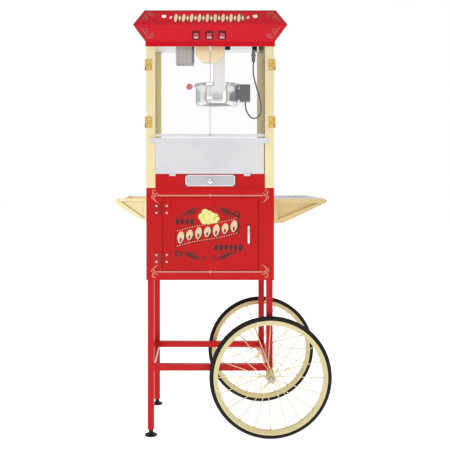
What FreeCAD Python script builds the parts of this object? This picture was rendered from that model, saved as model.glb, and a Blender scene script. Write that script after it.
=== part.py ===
import FreeCAD, Part

import math
import os
import re

import Sketcher

from FreeCAD import Placement, Rotation, Vector

# A cart-style popcorn maker. X runs across the front (+X to the right), Y from the
# front (-Y) to the back (+Y), Z up. The origin is on the floor under the middle of
# the whole machine; the cabinets stand a little left of it, because the wheels and
# the side shelf reach further to the right than the push handle does to the left.
# All sizes are millimetres, and X formulas are measured from the cabinets' middle.

DIMENSIONS = {
    # cabinets
    "cabinet_x": -46.7,
    "half_width": 232, "half_depth": 200, "sheet": 2,
    "cart_floor": 567, "cart_top": 902, "base_top": 953, "ceiling": 1459, "roof_floor": 1475,
    "roof_top": 1540,
    # cart door and its opening
    "door_left": -173, "door_right": 176, "door_low": 603, "door_high": 866,
    "door_gap": 1.5, "door_depth": 12,
    "pull_x": 138, "pull_low": 697, "pull_high": 771, "pull_reach": 34, "pull_radius": 4.5,
    # tube frame under the cart
    "tube": 23, "tube_wall": 2, "leg_x": 204, "rail_low": 238, "left_leg_low": 24,
    "foot_radius": 22, "foot_pad": 9, "foot_neck": 15, "stem_radius": 8,
    # wheels
    "wheel_x": 217, "wheel_z": 220.5, "wheel_y": 226, "tyre_ring": 212, "tyre_radius": 8.5,
    "rim_outer": 203.4, "rim_inner": 189, "rim_half": 10, "rim_lip": 2.2,
    "hub_half": 25.5, "hub_radius": 9, "flange_radius": 16.5, "flange_y": 21, "flange": 3,
    "axle_radius": 6, "axle_bore": 6.08, "nut_radius": 11.5, "nut_length": 8, "dome_radius": 9,
    "spoke_radius": 1.6, "spoke_count": 20, "bracket_low": 204,
    # push handle on the left side
    "handle_top": 863, "handle_point": 374, "handle_low": 783, "handle_corner": 246,
    "handle_tip_radius": 12, "handle_rod_x": 332, "handle_rod_z": 851, "rod_radius": 8,
    "bracket_depth": 16, "bracket_web": 3,
    "cut_left": 324, "cut_right": 242, "cut_top": 852, "cut_low": 793,
    # serving shelf on the right side
    "shelf_top": 865, "shelf_under": 862, "shelf_point": 448, "shelf_low": 773, "shelf_foot": 262,
    "shelf_tip_radius": 8, "shelf_end": 408, "shelf_rod_x": 420, "shelf_rod_z": 854,
    "recess_left": 245, "recess_right": 389, "recess_top": 846, "recess_low": 787,
    # popper cabinet
    "post": 33, "pane": 3, "glass_low": 1088, "glass_high": 1401, "glass_edge": 230,
    "stile_edge": 231.7, "stile_front": 206, "stile_back": 203, "glass_back": 200.3,
    "sill_low": 1088, "sill_high": 1098, "sill_depth": 8, "catch_half": 4,
    "panel_left": -198, "panel_right": 195, "panel_top": 1083, "panel_ear": 19,
    "panel_front": 202.4, "panel_back": 200.6,
    "face_half": 90, "face_low": 908, "face_high": 949, "tray_half": 84, "tray_depth": 300,
    "tray_low": 910, "tray_high": 944, "slide_gap": 0.4, "guide_x": 75, "guide_half": 5,
    "knob_z": 926, "knob_radius": 11.5, "knob_reach": 24, "knob_foot": 5, "knob_neck": 4,
    "knob_crown": 9.5,
    "slot_pitch": 45, "slot_half": 5, "slot_row": 80, "slot_reach": 20,
    # hinges: pin, barrel and leaves
    "pin_radius": 1.5, "pin_bore": 1.56, "barrel": 2.5, "leaf": 1.5, "leaf_start": 2.8,
    "popper_hinge": 41, "popper_leaf": 24, "popper_hinge_x": 234.5, "popper_hinge_y": 205,
    "popper_hinge_high": 1348, "popper_hinge_low": 1140,
    "cart_hinge": 40, "cart_hinge_y": 202.5, "cart_hinge_high": 824, "cart_hinge_low": 646,
    "frame_leaf": 36, "door_leaf": 28,
    "clip_length": 23, "clip_base": 6, "clip_leaf": 8, "clip_z": 951, "clip_y": 204.9,
    "clip_left": -137, "clip_right": 134,
    # roof sign
    "sign_tip": 277, "sign_tip_z": 1487, "sign_top_x": 238, "sign_top": 1546,
    "sign_low_x": 235, "sign_low": 1433, "sign_band": 1415, "sign_fold": 36, "sign_sheet": 2.2,
    # rocker switches
    "switch_x": -4, "switch_pitch": 47, "switch_z": 1453,
    "bezel_wide": 27, "bezel_high": 31, "bezel_flange": 2.5, "bezel_wall": 1.8, "bezel_fit": 0.1,
    "hole_wide": 22, "hole_high": 26, "sleeve_depth": 12, "well_depth": 10,
    "rocker_wide": 17.4, "rocker_high": 21.4, "rocker_front": 4.5, "rocker_back": 1.5,
    # kettle and its hangers
    "kettle_x": 28, "kettle_radius": 82.5, "kettle_low": 1208.5, "kettle_rim_low": 1287.5,
    "kettle_rim": 1299.5, "rim_radius": 87, "kettle_wall": 2, "kettle_corner": 14,
    "pivot_x": 36, "pivot_z": 1278.5, "pivot_radius": 5, "hanger_y": 91, "hanger_half": 20,
    "hanger_low": 1260, "hanger_flange": 13, "hanger_sheet": 2,
    "bar_half": 13, "bar_top": 1313.5, "lid_sheet": 2,
    "box_left": 117, "box_right": 157, "box_low": 1235, "box_high": 1299, "box_half": 24,
    "lever_low": 1291.5, "lever_high": 1295.5, "lever_end": -68, "ball_x": -79, "ball_radius": 12.5,
    "neck_half": 12, "neck_low": 1243, "neck_high": 1283, "lever_half": 7,
    "stirrer_radius": 4, "blade_half": 70, "blade_low": 1215.5, "blade_width": 12, "blade": 3,
    "bore_fit": 0.08,
    # lamps, drive and kettle lead
    "lamp_x": -95, "lamp_half": 35.5, "lamp_low": 1380, "lamp_sheet": 1.5, "bulb_radius": 22,
    "light_x": -2, "light_y": -132, "light_half": 52, "light_depth": 24, "light_step": 1398,
    "light_low": 1367, "light_tip": 24,
    "shaft_low": 1290.5, "motor_half": 30, "motor_front": 129, "motor_back": 69, "collar_length": 22,
    "socket_x": 175, "socket_half": 9, "socket_depth": 12, "socket_low": 1430,
    "plug_x": 171, "plug_low": 1390, "plug_radius": 7, "collar_z": 1412, "collar_radius": 10,
    "collar": 6, "lead_radius": 3,
}

doc = FreeCAD.newDocument("popcorn_cart")
dims = doc.addObject("Spreadsheet::Sheet", "Dims")
for row, (alias, number) in enumerate(DIMENSIONS.items(), start=1):
    dims.set(f"A{row}", alias)
    dims.set(f"B{row}", str(number))
    dims.setAlias(f"B{row}", alias)
doc.recompute()

nodes = []


def size(alias):
    """A driving dimension, read back from the sheet."""
    return float(dims.get(alias))


def bind(thing, prop, formula):
    """Drive a property by a formula over the sheet's aliases."""
    thing.setExpression(prop, re.sub(
        r"[a-z_]+", lambda word: "Dims." + word[0] if word[0] in DIMENSIONS else word[0],
        str(formula)))


def place(thing, x, y, z, turn=Rotation()):
    """Put a thing at formulas; a turned one keeps its turn."""
    thing.Placement = Placement(Vector(), turn)
    for axis, formula in zip("xyz", (x, y, z)):
        bind(thing, f"Placement.Base.{axis}", formula)


def across(formula):
    """X measured from the cabinets' middle."""
    return f"cabinet_x + ({formula})"


def node(thing, label):
    """Name a finished sub-part, which is then written to its own file."""
    thing.Label = label
    nodes.append(thing)
    return thing


def local_block(x, y, z):
    """A box between (low, high) pairs of formulas, in its own group's frame."""
    box = doc.addObject("Part::Box", "block")
    for side, (low, high) in zip(("Length", "Width", "Height"), (x, y, z)):
        bind(box, side, f"({high}) - ({low})")
    place(box, x[0], y[0], z[0])
    return box


def block(x, y, z):
    """A box with X measured from the cabinets' middle."""
    return local_block((across(x[0]), across(x[1])), y, z)


TURNS = {"x": Rotation(Vector(0, 1, 0), 90), "y": Rotation(Vector(1, 0, 0), -90), "z": Rotation()}


def local_rod(axis, radius, x, y, z):
    """A round bar along one axis; that axis has a (low, high) pair, the others a centre."""
    bar = doc.addObject("Part::Cylinder", "rod")
    spot = {"x": x, "y": y, "z": z}
    low, high = spot[axis]
    spot[axis] = low
    bind(bar, "Radius", radius)
    bind(bar, "Height", f"({high}) - ({low})")
    place(bar, spot["x"], spot["y"], spot["z"], TURNS[axis])
    return bar


def rod(axis, radius, x, y, z):
    """A round bar with X measured from the cabinets' middle."""
    x = tuple(across(end) for end in x) if axis == "x" else across(x)
    return local_rod(axis, radius, x, y, z)


def fuse(*pieces):
    result = doc.addObject("Part::MultiFuse", "joined")
    result.Shapes = list(pieces)
    return result


def cut(base, *tools):
    result = doc.addObject("Part::Cut", "cut")
    result.Base = base
    result.Tool = tools[0] if len(tools) == 1 else fuse(*tools)
    return result


def common(first, second):
    result = doc.addObject("Part::Common", "shared")
    result.Base = first
    result.Tool = second
    return result


def group(*pieces):
    """Like pieces that stay separate solids in one node."""
    result = doc.addObject("Part::Compound", "set")
    result.Links = list(pieces)
    return result


def sketch(body, plane, corners):
    """A closed outline on one of the body's own planes, each corner pinned to the sheet."""
    drawing = body.newObject("Sketcher::SketchObject", "outline")
    origin_plane = [part for part in body.Origin.OriginFeatures if part.Role == plane][0]
    drawing.AttachmentSupport = [(origin_plane, "")]
    drawing.MapMode = "FlatFace"
    count = len(corners)
    rough = [Vector(200 * math.cos(2 * math.pi * spot / count),
                    200 * math.sin(2 * math.pi * spot / count), 0) for spot in range(count)]
    for spot in range(count):
        drawing.addGeometry(Part.LineSegment(rough[spot], rough[(spot + 1) % count]), False)
    for spot in range(count):
        drawing.addConstraint(
            Sketcher.Constraint("Coincident", spot, 2, (spot + 1) % count, 1))
    for spot, (across_formula, up_formula) in enumerate(corners):
        for kind, formula in (("DistanceX", across_formula), ("DistanceY", up_formula)):
            pin = drawing.addConstraint(Sketcher.Constraint(kind, -1, 1, spot, 1, 1.0))
            bind(drawing, f"Constraints[{pin}]", formula)
    return drawing


def padded(label, plane, corners, depth):
    """A body padded evenly both ways from its sketch plane."""
    body = doc.addObject("PartDesign::Body", label)
    pad = body.newObject("PartDesign::Pad", "pad")
    pad.Profile = sketch(body, plane, corners)
    pad.SideType = "Symmetric"
    bind(pad, "Length", depth)
    return body


def turned(label, corners):
    """A body turned about its own Z axis from (radius, height) corners."""
    body = doc.addObject("PartDesign::Body", label)
    drawing = sketch(body, "XZ_Plane", corners)
    turn = body.newObject("PartDesign::Revolution", "turned")
    turn.Profile = drawing
    turn.ReferenceAxis = (drawing, ["V_Axis"])
    turn.Angle = 360
    return body


def round_corners(body, keep, radius):
    """Round the body's straight edges that pass the keep test."""
    doc.recompute()
    base = body.Tip
    names = [f"Edge{index}" for index, edge in enumerate(base.Shape.Edges, start=1)
             if edge.Curve.TypeId == "Part::GeomLine" and keep(edge)]
    fillet = body.newObject("PartDesign::Fillet", "rounded")
    fillet.Base = (base, names)
    bind(fillet, "Radius", radius)
    return body


# ---------------------------------------------------------------- cart cabinet

def cart_cabinet():
    """Red sheet-steel panels: two sides, a back, a floor and a top, and a front frame."""
    walls = [block((low, high), ("-half_depth", "half_depth"), ("cart_floor", "cart_top"))
             for low, high in (("-half_width", "-half_width + sheet"),
                               ("half_width - sheet", "half_width"))]
    inner = ("-half_width + sheet", "half_width - sheet")
    back = block(inner, ("half_depth - sheet", "half_depth"), ("cart_floor", "cart_top"))
    node(group(*walls, back), "cart_panels")
    deep = ("-half_depth + sheet", "half_depth - sheet")
    node(group(block(inner, deep, ("cart_floor", "cart_floor + sheet")),
               block(inner, deep, ("cart_top - sheet", "cart_top"))), "cart_shelves")
    frame = block(inner, ("-half_depth", "-half_depth + sheet"), ("cart_floor", "cart_top"))
    opening = block(("door_left", "door_right"), ("-half_depth - 1", "-half_depth + sheet + 1"),
                    ("door_low", "door_high"))
    node(cut(frame, opening), "cart_front_frame")


def cart_door():
    """A pan-shaped steel door set in the opening, with a bow handle."""
    skin = block(("door_left + door_gap", "door_right - door_gap"),
                 ("-half_depth", "-half_depth + door_depth"),
                 ("door_low + door_gap", "door_high - door_gap"))
    hollow = block(("door_left + door_gap + sheet", "door_right - door_gap - sheet"),
                   ("-half_depth + sheet", "-half_depth + door_depth + 1"),
                   ("door_low + door_gap + sheet", "door_high - door_gap - sheet"))
    node(cut(skin, hollow), "cart_door")
    reach = "-half_depth - pull_reach"
    grip = rod("z", "pull_radius", "pull_x", f"{reach} + pull_radius", ("pull_low", "pull_high"))
    feet = [rod("y", "pull_radius", "pull_x", (f"{reach} + pull_radius", "-half_depth"), height)
            for height in ("pull_low + pull_radius", "pull_high - pull_radius")]
    node(fuse(grip, *feet), "cart_door_handle")


# ---------------------------------------------------------------------- hinges

def hinge_half(moving, length, reach, side, folded=False):
    """
    One half of a butt hinge, with its pin on the local Z axis and its middle at z = 0.
    The fixed half has the middle barrel and the pin, the moving half the two end barrels.
    side is +1 where the leaf lies behind the pin and -1 where it lies in front of it.
    """
    third = f"({length}) / 6"
    full = (f"-({length}) / 2", f"({length}) / 2")
    spans = ([(full[0], f"-{third} - 0.2"), (f"{third} + 0.2", full[1])] if moving
             else [(f"-{third}", third)])
    flat = ("barrel - leaf", "barrel") if side > 0 else ("-barrel", "leaf - barrel")
    away = 1 if moving else -1

    def leaf_block(near, far, height):
        if folded:
            return local_block(flat, (near, far), height)
        pair = (near, far) if away > 0 else (f"-({far})", f"-({near})")
        return local_block(pair, flat, height)

    pieces = [leaf_block("leaf_start", reach, full)]
    for span in spans:
        pieces.append(leaf_block("0", "leaf_start", span))
        pieces.append(local_rod("z", "barrel", "0", "0", span))
    if moving:
        bore = local_rod("z", "pin_bore", "0", "0", (f"{full[0]} - 1", f"{full[1]} + 1"))
        return cut(fuse(*pieces), bore)
    pieces.append(local_rod("z", "pin_radius", "0", "0", full))
    return fuse(*pieces)


def popper_hinges():
    """Brass hinges at the cabinet's outer front corners, two to a door."""
    fixed = []
    leaves = {}
    for name, sign, turn in (("left", -1, Rotation()),
                             ("right", 1, Rotation(Vector(0, 1, 0), 180))):
        leaves[name] = []
        for height in ("popper_hinge_high", "popper_hinge_low"):
            spot = (across(f"{sign} * popper_hinge_x"), "-popper_hinge_y", height)
            frame_half = hinge_half(False, "popper_hinge", "popper_leaf", 1, folded=True)
            place(frame_half, *spot, turn)
            fixed.append(frame_half)
            door_half = hinge_half(True, "popper_hinge", "popper_leaf", -1)
            place(door_half, *spot, turn)
            leaves[name].append(door_half)
    return fixed, leaves


def cart_hinges():
    """Steel hinges on the left edge of the cart door."""
    halves = {False: [], True: []}
    for height in ("cart_hinge_high", "cart_hinge_low"):
        for moving, reach in ((False, "frame_leaf"), (True, "door_leaf")):
            half = hinge_half(moving, "cart_hinge", reach, 1)
            place(half, across("door_left"), "-cart_hinge_y", height)
            halves[moving].append(half)
    node(group(*halves[True]), "cart_door_hinges")
    return halves[False]


def serving_clips():
    """Small steel clip hinges along the foot of the serving panel; the pin runs along X."""
    lying = Rotation(Vector(0, 0, 1), Vector(0, -1, 0), Vector(1, 0, 0), "ZXY")
    halves = {False: [], True: []}
    for spot in ("clip_left", "clip_right"):
        for moving, reach in ((False, "clip_base"), (True, "clip_leaf")):
            half = hinge_half(moving, "clip_length", reach, -1)
            place(half, across(spot), "-clip_y", "clip_z", lying)
            halves[moving].append(half)
        halves[False].append(block(
            (f"{spot} - clip_length / 2", f"{spot} + clip_length / 2"),
            ("-panel_front", "-half_depth + sheet"),
            ("clip_z - clip_base", "clip_z - leaf_start")))
    node(group(fuse(*halves[False][:2]), fuse(*halves[False][2:])), "panel_clips")
    return halves[True]


# ------------------------------------------------------------- legs and wheels

def tube_post(x, y, z, along):
    """A square tube from one corner to the other, open at the two ends along its run."""
    inside = {"x": x, "y": y, "z": z}
    for axis, (low, high) in inside.items():
        step = "-1" if axis == along else "tube_wall"
        inside[axis] = (f"({low}) + ({step})", f"({high}) - ({step})")
    return cut(block(x, y, z), block(inside["x"], inside["y"], inside["z"]))


def cart_frame():
    """Four square-tube legs and the four rails that tie them together above the wheels."""
    left = ("-leg_x - tube", "-leg_x")
    right = ("leg_x", "leg_x + tube")
    front = ("-half_depth", "-half_depth + tube")
    back = ("half_depth - tube", "half_depth")
    legs = [tube_post(x, y, (low, "cart_floor"), "z")
            for x, low in ((left, "left_leg_low"), (right, "rail_low")) for y in (front, back)]
    node(group(*legs), "cart_legs")
    height = ("rail_low", "rail_low + tube")
    between = ("-half_depth + tube", "half_depth - tube")
    rails = [tube_post(("-leg_x", "leg_x"), y, height, "x") for y in (front, back)]
    rails += [tube_post(x, between, height, "y") for x in (left, right)]
    node(group(*rails), "lower_rails")


def levelling_feet():
    """Black screw feet under the two left legs."""
    feet = []
    for side in (-1, 1):
        foot = turned("foot", [("0", "0"), ("foot_radius", "0"), ("foot_radius", "foot_pad / 2"),
                               ("stem_radius + 3", "foot_pad"), ("stem_radius", "foot_neck"),
                               ("stem_radius", "left_leg_low"), ("0", "left_leg_low")])
        place(foot, across("-leg_x - tube / 2"), f"{side} * (half_depth - tube / 2)", "0")
        feet.append(foot)
    node(group(*feet), "levelling_feet")


def axle():
    """A steel axle from front to back with a hex cap nut at each end, in two brackets."""
    out = "(wheel_y + hub_half + 0.5)"
    pieces = [rod("y", "axle_radius", "wheel_x", (f"-{out}", out), "wheel_z")]
    for side in (-1, 1):
        nut = doc.addObject("Part::Prism", "nut")
        nut.Polygon = 6
        bind(nut, "Circumradius", "nut_radius")
        bind(nut, "Height", "nut_length")
        place(nut, across("wheel_x"), f"-{out} - nut_length" if side < 0 else out, "wheel_z",
              TURNS["y"])
        dome = doc.addObject("Part::Cone", "dome")
        bind(dome, "Radius1", "dome_radius")
        bind(dome, "Radius2", "dome_radius / 2")
        bind(dome, "Height", "dome_radius / 2")
        place(dome, across("wheel_x"), f"{side} * ({out} + nut_length)", "wheel_z",
              Rotation(Vector(1, 0, 0), -90 * side))
        pieces += [nut, dome]
    node(fuse(*pieces), "axle")
    brackets = []
    for low, high in (("-half_depth", "-half_depth + tube"), ("half_depth - tube", "half_depth")):
        plate = block(("leg_x", "leg_x + tube + 3"), (low, high), ("bracket_low", "rail_low"))
        bore = rod("y", "axle_radius", "wheel_x", (f"{low} - 1", f"{high} + 1"), "wheel_z")
        brackets.append(cut(plate, bore))
    node(group(*brackets), "axle_brackets")


def wheel(name, side):
    """A spoked wheel: solid rubber tyre, channel rim, laced spokes and a flanged hub."""
    spot = (across("wheel_x"), f"{side} * wheel_y", "wheel_z")
    tyre = doc.addObject("Part::Torus", "tyre")
    bind(tyre, "Radius1", "tyre_ring")
    bind(tyre, "Radius2", "tyre_radius")
    place(tyre, *spot, TURNS["y"])
    node(tyre, f"{name}_tyre")

    rim = turned("rim", [("rim_inner", "-rim_half + 3"), ("rim_outer - 3", "-rim_half"),
                         ("rim_outer + rim_lip", "-rim_half"),
                         ("rim_outer + rim_lip", "-rim_half + 2"),
                         ("rim_outer", "-rim_half + 2"), ("rim_outer", "rim_half - 2"),
                         ("rim_outer + rim_lip", "rim_half - 2"),
                         ("rim_outer + rim_lip", "rim_half"), ("rim_outer - 3", "rim_half"),
                         ("rim_inner", "rim_half - 3")])
    place(rim, *spot, TURNS["y"])
    node(rim, f"{name}_rim")

    flange_in, flange_out = "(flange_y - flange / 2)", "(flange_y + flange / 2)"
    hub = turned("hub", [("axle_bore", "-hub_half"), ("hub_radius + 2", "-hub_half"),
                         ("hub_radius + 2", f"-{flange_out}"), ("flange_radius", f"-{flange_out}"),
                         ("flange_radius", f"-{flange_in}"), ("hub_radius", f"-{flange_in}"),
                         ("hub_radius", flange_in), ("flange_radius", flange_in),
                         ("flange_radius", flange_out), ("hub_radius + 2", flange_out),
                         ("hub_radius + 2", "hub_half"), ("axle_bore", "hub_half")])
    place(hub, *spot, TURNS["y"])
    laced = [spoke(number, side) for number in range(int(size("spoke_count")))]
    node(group(hub, *laced), f"{name}_hub_and_spokes")


def spoke(number, side):
    """One straight laced spoke from a hub flange to the inside of the rim."""
    step = 2 * math.pi / size("spoke_count")
    lean = 2 * step if number % 4 < 2 else -2 * step
    flange_side = 1 if number % 2 else -1

    def spot(angle, radius, out):
        return Vector(size("cabinet_x") + size("wheel_x") + radius * math.cos(angle),
                      side * size("wheel_y") + out, size("wheel_z") + radius * math.sin(angle))

    start = spot(number * step + lean, size("flange_radius") - 1.5, flange_side * size("flange_y"))
    end = spot(number * step, size("rim_inner") + 0.6, 0)
    bar = doc.addObject("Part::Cylinder", "spoke")
    bind(bar, "Radius", "spoke_radius")
    bar.Height = (end - start).Length
    bar.Placement = Placement(start, Rotation(Vector(0, 0, 1), end - start))
    return bar


# ------------------------------------------------------- push handle and shelf

def side_plate(outline, recess, rounding, front):
    """A pressed bracket: a shallow dish open to the front, with a thin web at its back."""
    plate = padded("plate", "XZ_Plane", outline, "bracket_depth")
    for keep, radius in rounding:
        round_corners(plate, keep, radius)
    dish = padded("dish", "XZ_Plane", recess, "bracket_depth")
    place(dish, "0", "-bracket_web", "0")
    shaped = cut(plate, dish)
    offset = "half_depth - bracket_depth / 2"
    place(shaped, "cabinet_x", f"-({offset})" if front else offset, "0")
    return shaped


def corner_at(x, z):
    """A test for the front-to-back edge at one corner of a side plate."""
    return lambda edge: (abs(edge.Vertexes[0].X - edge.Vertexes[1].X) < 0.01
                         and abs(edge.Vertexes[0].Z - edge.Vertexes[1].Z) < 0.01
                         and math.hypot(edge.Vertexes[0].X - x, edge.Vertexes[0].Z - z) < 0.1)


def push_handle():
    """Two triangular brackets on the left side that carry a steel push rod."""
    outline = [("-half_width", "handle_top"), ("-handle_point", "handle_top"),
               ("-handle_corner", "handle_low"), ("-half_width", "handle_low")]
    recess = [("-cut_left", "cut_top"), ("-cut_right", "cut_low"), ("-cut_right", "cut_top")]
    rounding = [(corner_at(-size("handle_point"), size("handle_top")), "handle_tip_radius")]
    node(group(*[side_plate(outline, recess, rounding, front) for front in (True, False)]),
         "handle_brackets")
    inside = "(half_depth - bracket_depth)"
    node(rod("y", "rod_radius", "-handle_rod_x", (f"-{inside}", inside), "handle_rod_z"),
         "push_rod")


def side_shelf():
    """A stainless shelf on two triangular brackets, with a tie rod through their tips."""
    outline = [("half_width", "shelf_under"), ("half_width", "shelf_low"),
               ("shelf_foot", "shelf_low"), ("shelf_point", "shelf_under")]
    recess = [("recess_left", "recess_top"), ("recess_left", "recess_low"),
              ("recess_right", "recess_top")]
    rounding = [(corner_at(size("shelf_point"), size("shelf_under")), "shelf_tip_radius")]
    node(group(*[side_plate(outline, recess, rounding, front) for front in (True, False)]),
         "shelf_brackets")
    node(block(("half_width", "shelf_end"), ("-half_depth", "half_depth"),
               ("shelf_under", "shelf_top")), "side_shelf")
    inside = "(half_depth - bracket_depth)"
    node(rod("y", "rod_radius - 2", "shelf_rod_x", (f"-{inside}", inside), "shelf_rod_z"),
         "shelf_rod")


# -------------------------------------------------------------- popper cabinet

def popper_posts():
    """Four brass-coloured corner angles between the cart and the roof."""
    posts = []
    for x_side in (-1, 1):
        for y_side in (-1, 1):
            def span(side, half, thick):
                return (f"-{half}", f"-{half} + {thick}") if side < 0 else (f"{half} - {thick}", half)

            height = ("cart_top", "roof_floor")
            face = block(span(x_side, "half_width", "post"), span(y_side, "half_depth", "sheet"),
                         height)
            flank = block(span(x_side, "half_width", "sheet"), span(y_side, "half_depth", "post"),
                          height)
            posts.append(fuse(face, flank))
    node(group(*posts), "popper_posts")


def popper_windows():
    """Clear side and back panes, which slide in behind the posts."""
    height = ("base_top", "ceiling")
    inner = "half_width - sheet"
    sides = [block((f"-({inner})", f"-({inner}) + pane"), ("-half_depth + sheet",
                   "half_depth - sheet"), height),
             block((f"{inner} - pane", inner), ("-half_depth + sheet", "half_depth - sheet"),
                   height)]
    back = block((f"-({inner}) + pane", f"{inner} - pane"),
                 ("half_depth - sheet - pane", "half_depth - sheet"), height)
    node(group(*sides, back), "fixed_windows")


def popper_doors():
    """
    Two clear doors that meet in the middle, each on a brass-coloured stile that carries
    its two hinge leaves. The fixed halves of all the hinges share one node.
    """
    fixed, leaves = popper_hinges()
    node(group(*fixed, *cart_hinges()), "hinge_frame_leaves")
    for name, sign in (("left", -1), ("right", 1)):
        def pair(inner, outer):
            return (f"-({outer})", f"-({inner})") if sign < 0 else (inner, outer)

        height = ("glass_low", "glass_high")
        node(block(pair("1", "glass_edge"), ("-stile_back", "-glass_back"), height),
             f"{name}_door_glass")
        stile = block(pair("half_width - post", "stile_edge"), ("-stile_front", "-stile_back"),
                      height)
        node(group(stile, *leaves[name]), f"{name}_door_stile")
    node(fuse(block(("post - half_width", "half_width - post"),
                    ("-half_depth", "-half_depth + sill_depth"), ("sill_low", "sill_high")),
              block(("-catch_half", "catch_half"), ("-stile_front", "-half_depth + sill_depth"),
                    ("glass_high + 1", "sign_band"))), "door_sill")


def serving_panel():
    """A stainless panel between the posts, with two ears that stop it against them."""
    thick = ("-panel_front", "-panel_back")
    plate = block(("panel_left", "panel_right"), thick, ("base_top", "panel_top"))
    ears = [block(("panel_left - panel_ear", "panel_left"), thick,
                  ("panel_top - panel_ear", "panel_top")),
            block(("panel_right", "panel_right + panel_ear"), thick,
                  ("panel_top - panel_ear", "panel_top"))]
    node(fuse(plate, *ears, *serving_clips()), "serving_panel")


def popper_base():
    """The red tray under the popper with a slot for the drawer, and the deck above it."""
    inner_x = "(half_width - sheet)"
    inner_y = "(half_depth - sheet)"
    shell = block((f"-{inner_x}", inner_x), (f"-{inner_y}", inner_y), ("cart_top", "base_top"))
    hollow = block((f"-{inner_x} + sheet", f"{inner_x} - sheet"),
                   (f"-{inner_y} + sheet", f"{inner_y} - sheet"),
                   ("cart_top + sheet", "base_top + 1"))
    slot = block(("-tray_half - 1", "tray_half + 1"), ("-half_depth", "-half_depth + 3 * sheet"),
                 ("tray_low - 0.5", "tray_high + 1"))
    guides = [block((f"{side} * guide_x - guide_half", f"{side} * guide_x + guide_half"),
                    (f"-{inner_y} + sheet", "half_depth / 2"),
                    ("cart_top + sheet", "tray_low - slide_gap")) for side in (-1, 1)]
    node(fuse(cut(shell, hollow, slot), *guides), "popper_base")
    deck = block((f"-{inner_x} + sheet", f"{inner_x} - sheet"),
                 (f"-{inner_y} + sheet", f"{inner_y} - sheet"), ("base_top - sheet", "base_top"))
    slots = [block((f"{column} * slot_pitch - slot_half", f"{column} * slot_pitch + slot_half"),
                   (f"{place_y} * slot_row - slot_reach", f"{place_y} * slot_row + slot_reach"),
                   ("base_top - 2 * sheet", "base_top + 1"))
             for column in (-1, 0, 1) for place_y in (-1.5, -0.5, 0.5)]
    node(cut(deck, *slots), "popcorn_deck")


def kernel_drawer():
    """The drawer under the deck that catches unpopped kernels, with a round chrome knob."""
    face = block(("-face_half", "face_half"), ("-half_depth - 1", "-half_depth + sheet - 0.3"),
                 ("face_low", "face_high"))
    tray = block(("-tray_half", "tray_half"), ("-half_depth - 1", "-half_depth + tray_depth"),
                 ("tray_low", "tray_high"))
    hollow = block(("-tray_half + sheet", "tray_half - sheet"),
                   ("-half_depth + sheet", "-half_depth + tray_depth - sheet"),
                   ("tray_low + sheet", "tray_high + 1"))
    node(cut(fuse(face, tray), hollow), "kernel_drawer")
    knob = turned("knob", [("0", "0"), ("knob_foot", "0"), ("knob_neck", "knob_reach / 3"),
                           ("knob_radius - 1", "knob_reach / 2"),
                           ("knob_radius", "knob_reach * 5 / 8"),
                           ("knob_crown", "knob_reach * 5 / 6"),
                           ("knob_foot", "knob_reach"), ("0", "knob_reach")])
    place(knob, "cabinet_x", "-half_depth - 1", "knob_z", Rotation(Vector(1, 0, 0), 90))
    node(knob, "drawer_knob")


# ------------------------------------------------------------------------ roof

def slanted_box(wide, high, near, far, x):
    """A box square to the sign's lower slope, centred on the switches' height."""
    rise = size("sign_tip_z") - size("sign_low")
    slope = math.atan2(size("sign_fold") - 2, rise)
    box = doc.addObject("Part::Box", "slanted")
    bind(box, "Length", wide)
    bind(box, "Width", f"({far}) - ({near})")
    bind(box, "Height", high)
    turn = Rotation(Vector(1, 0, 0), math.degrees(slope))
    surface_y = -size("half_depth") - 2 - (size("switch_z") - size("sign_low")) * math.tan(slope)
    spot = Vector(size("cabinet_x") + x, surface_y, size("switch_z"))
    corner = turn.multVec(Vector(-wide / 2, near, -high / 2))
    box.Placement = Placement(spot + corner, turn)
    return box


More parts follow.
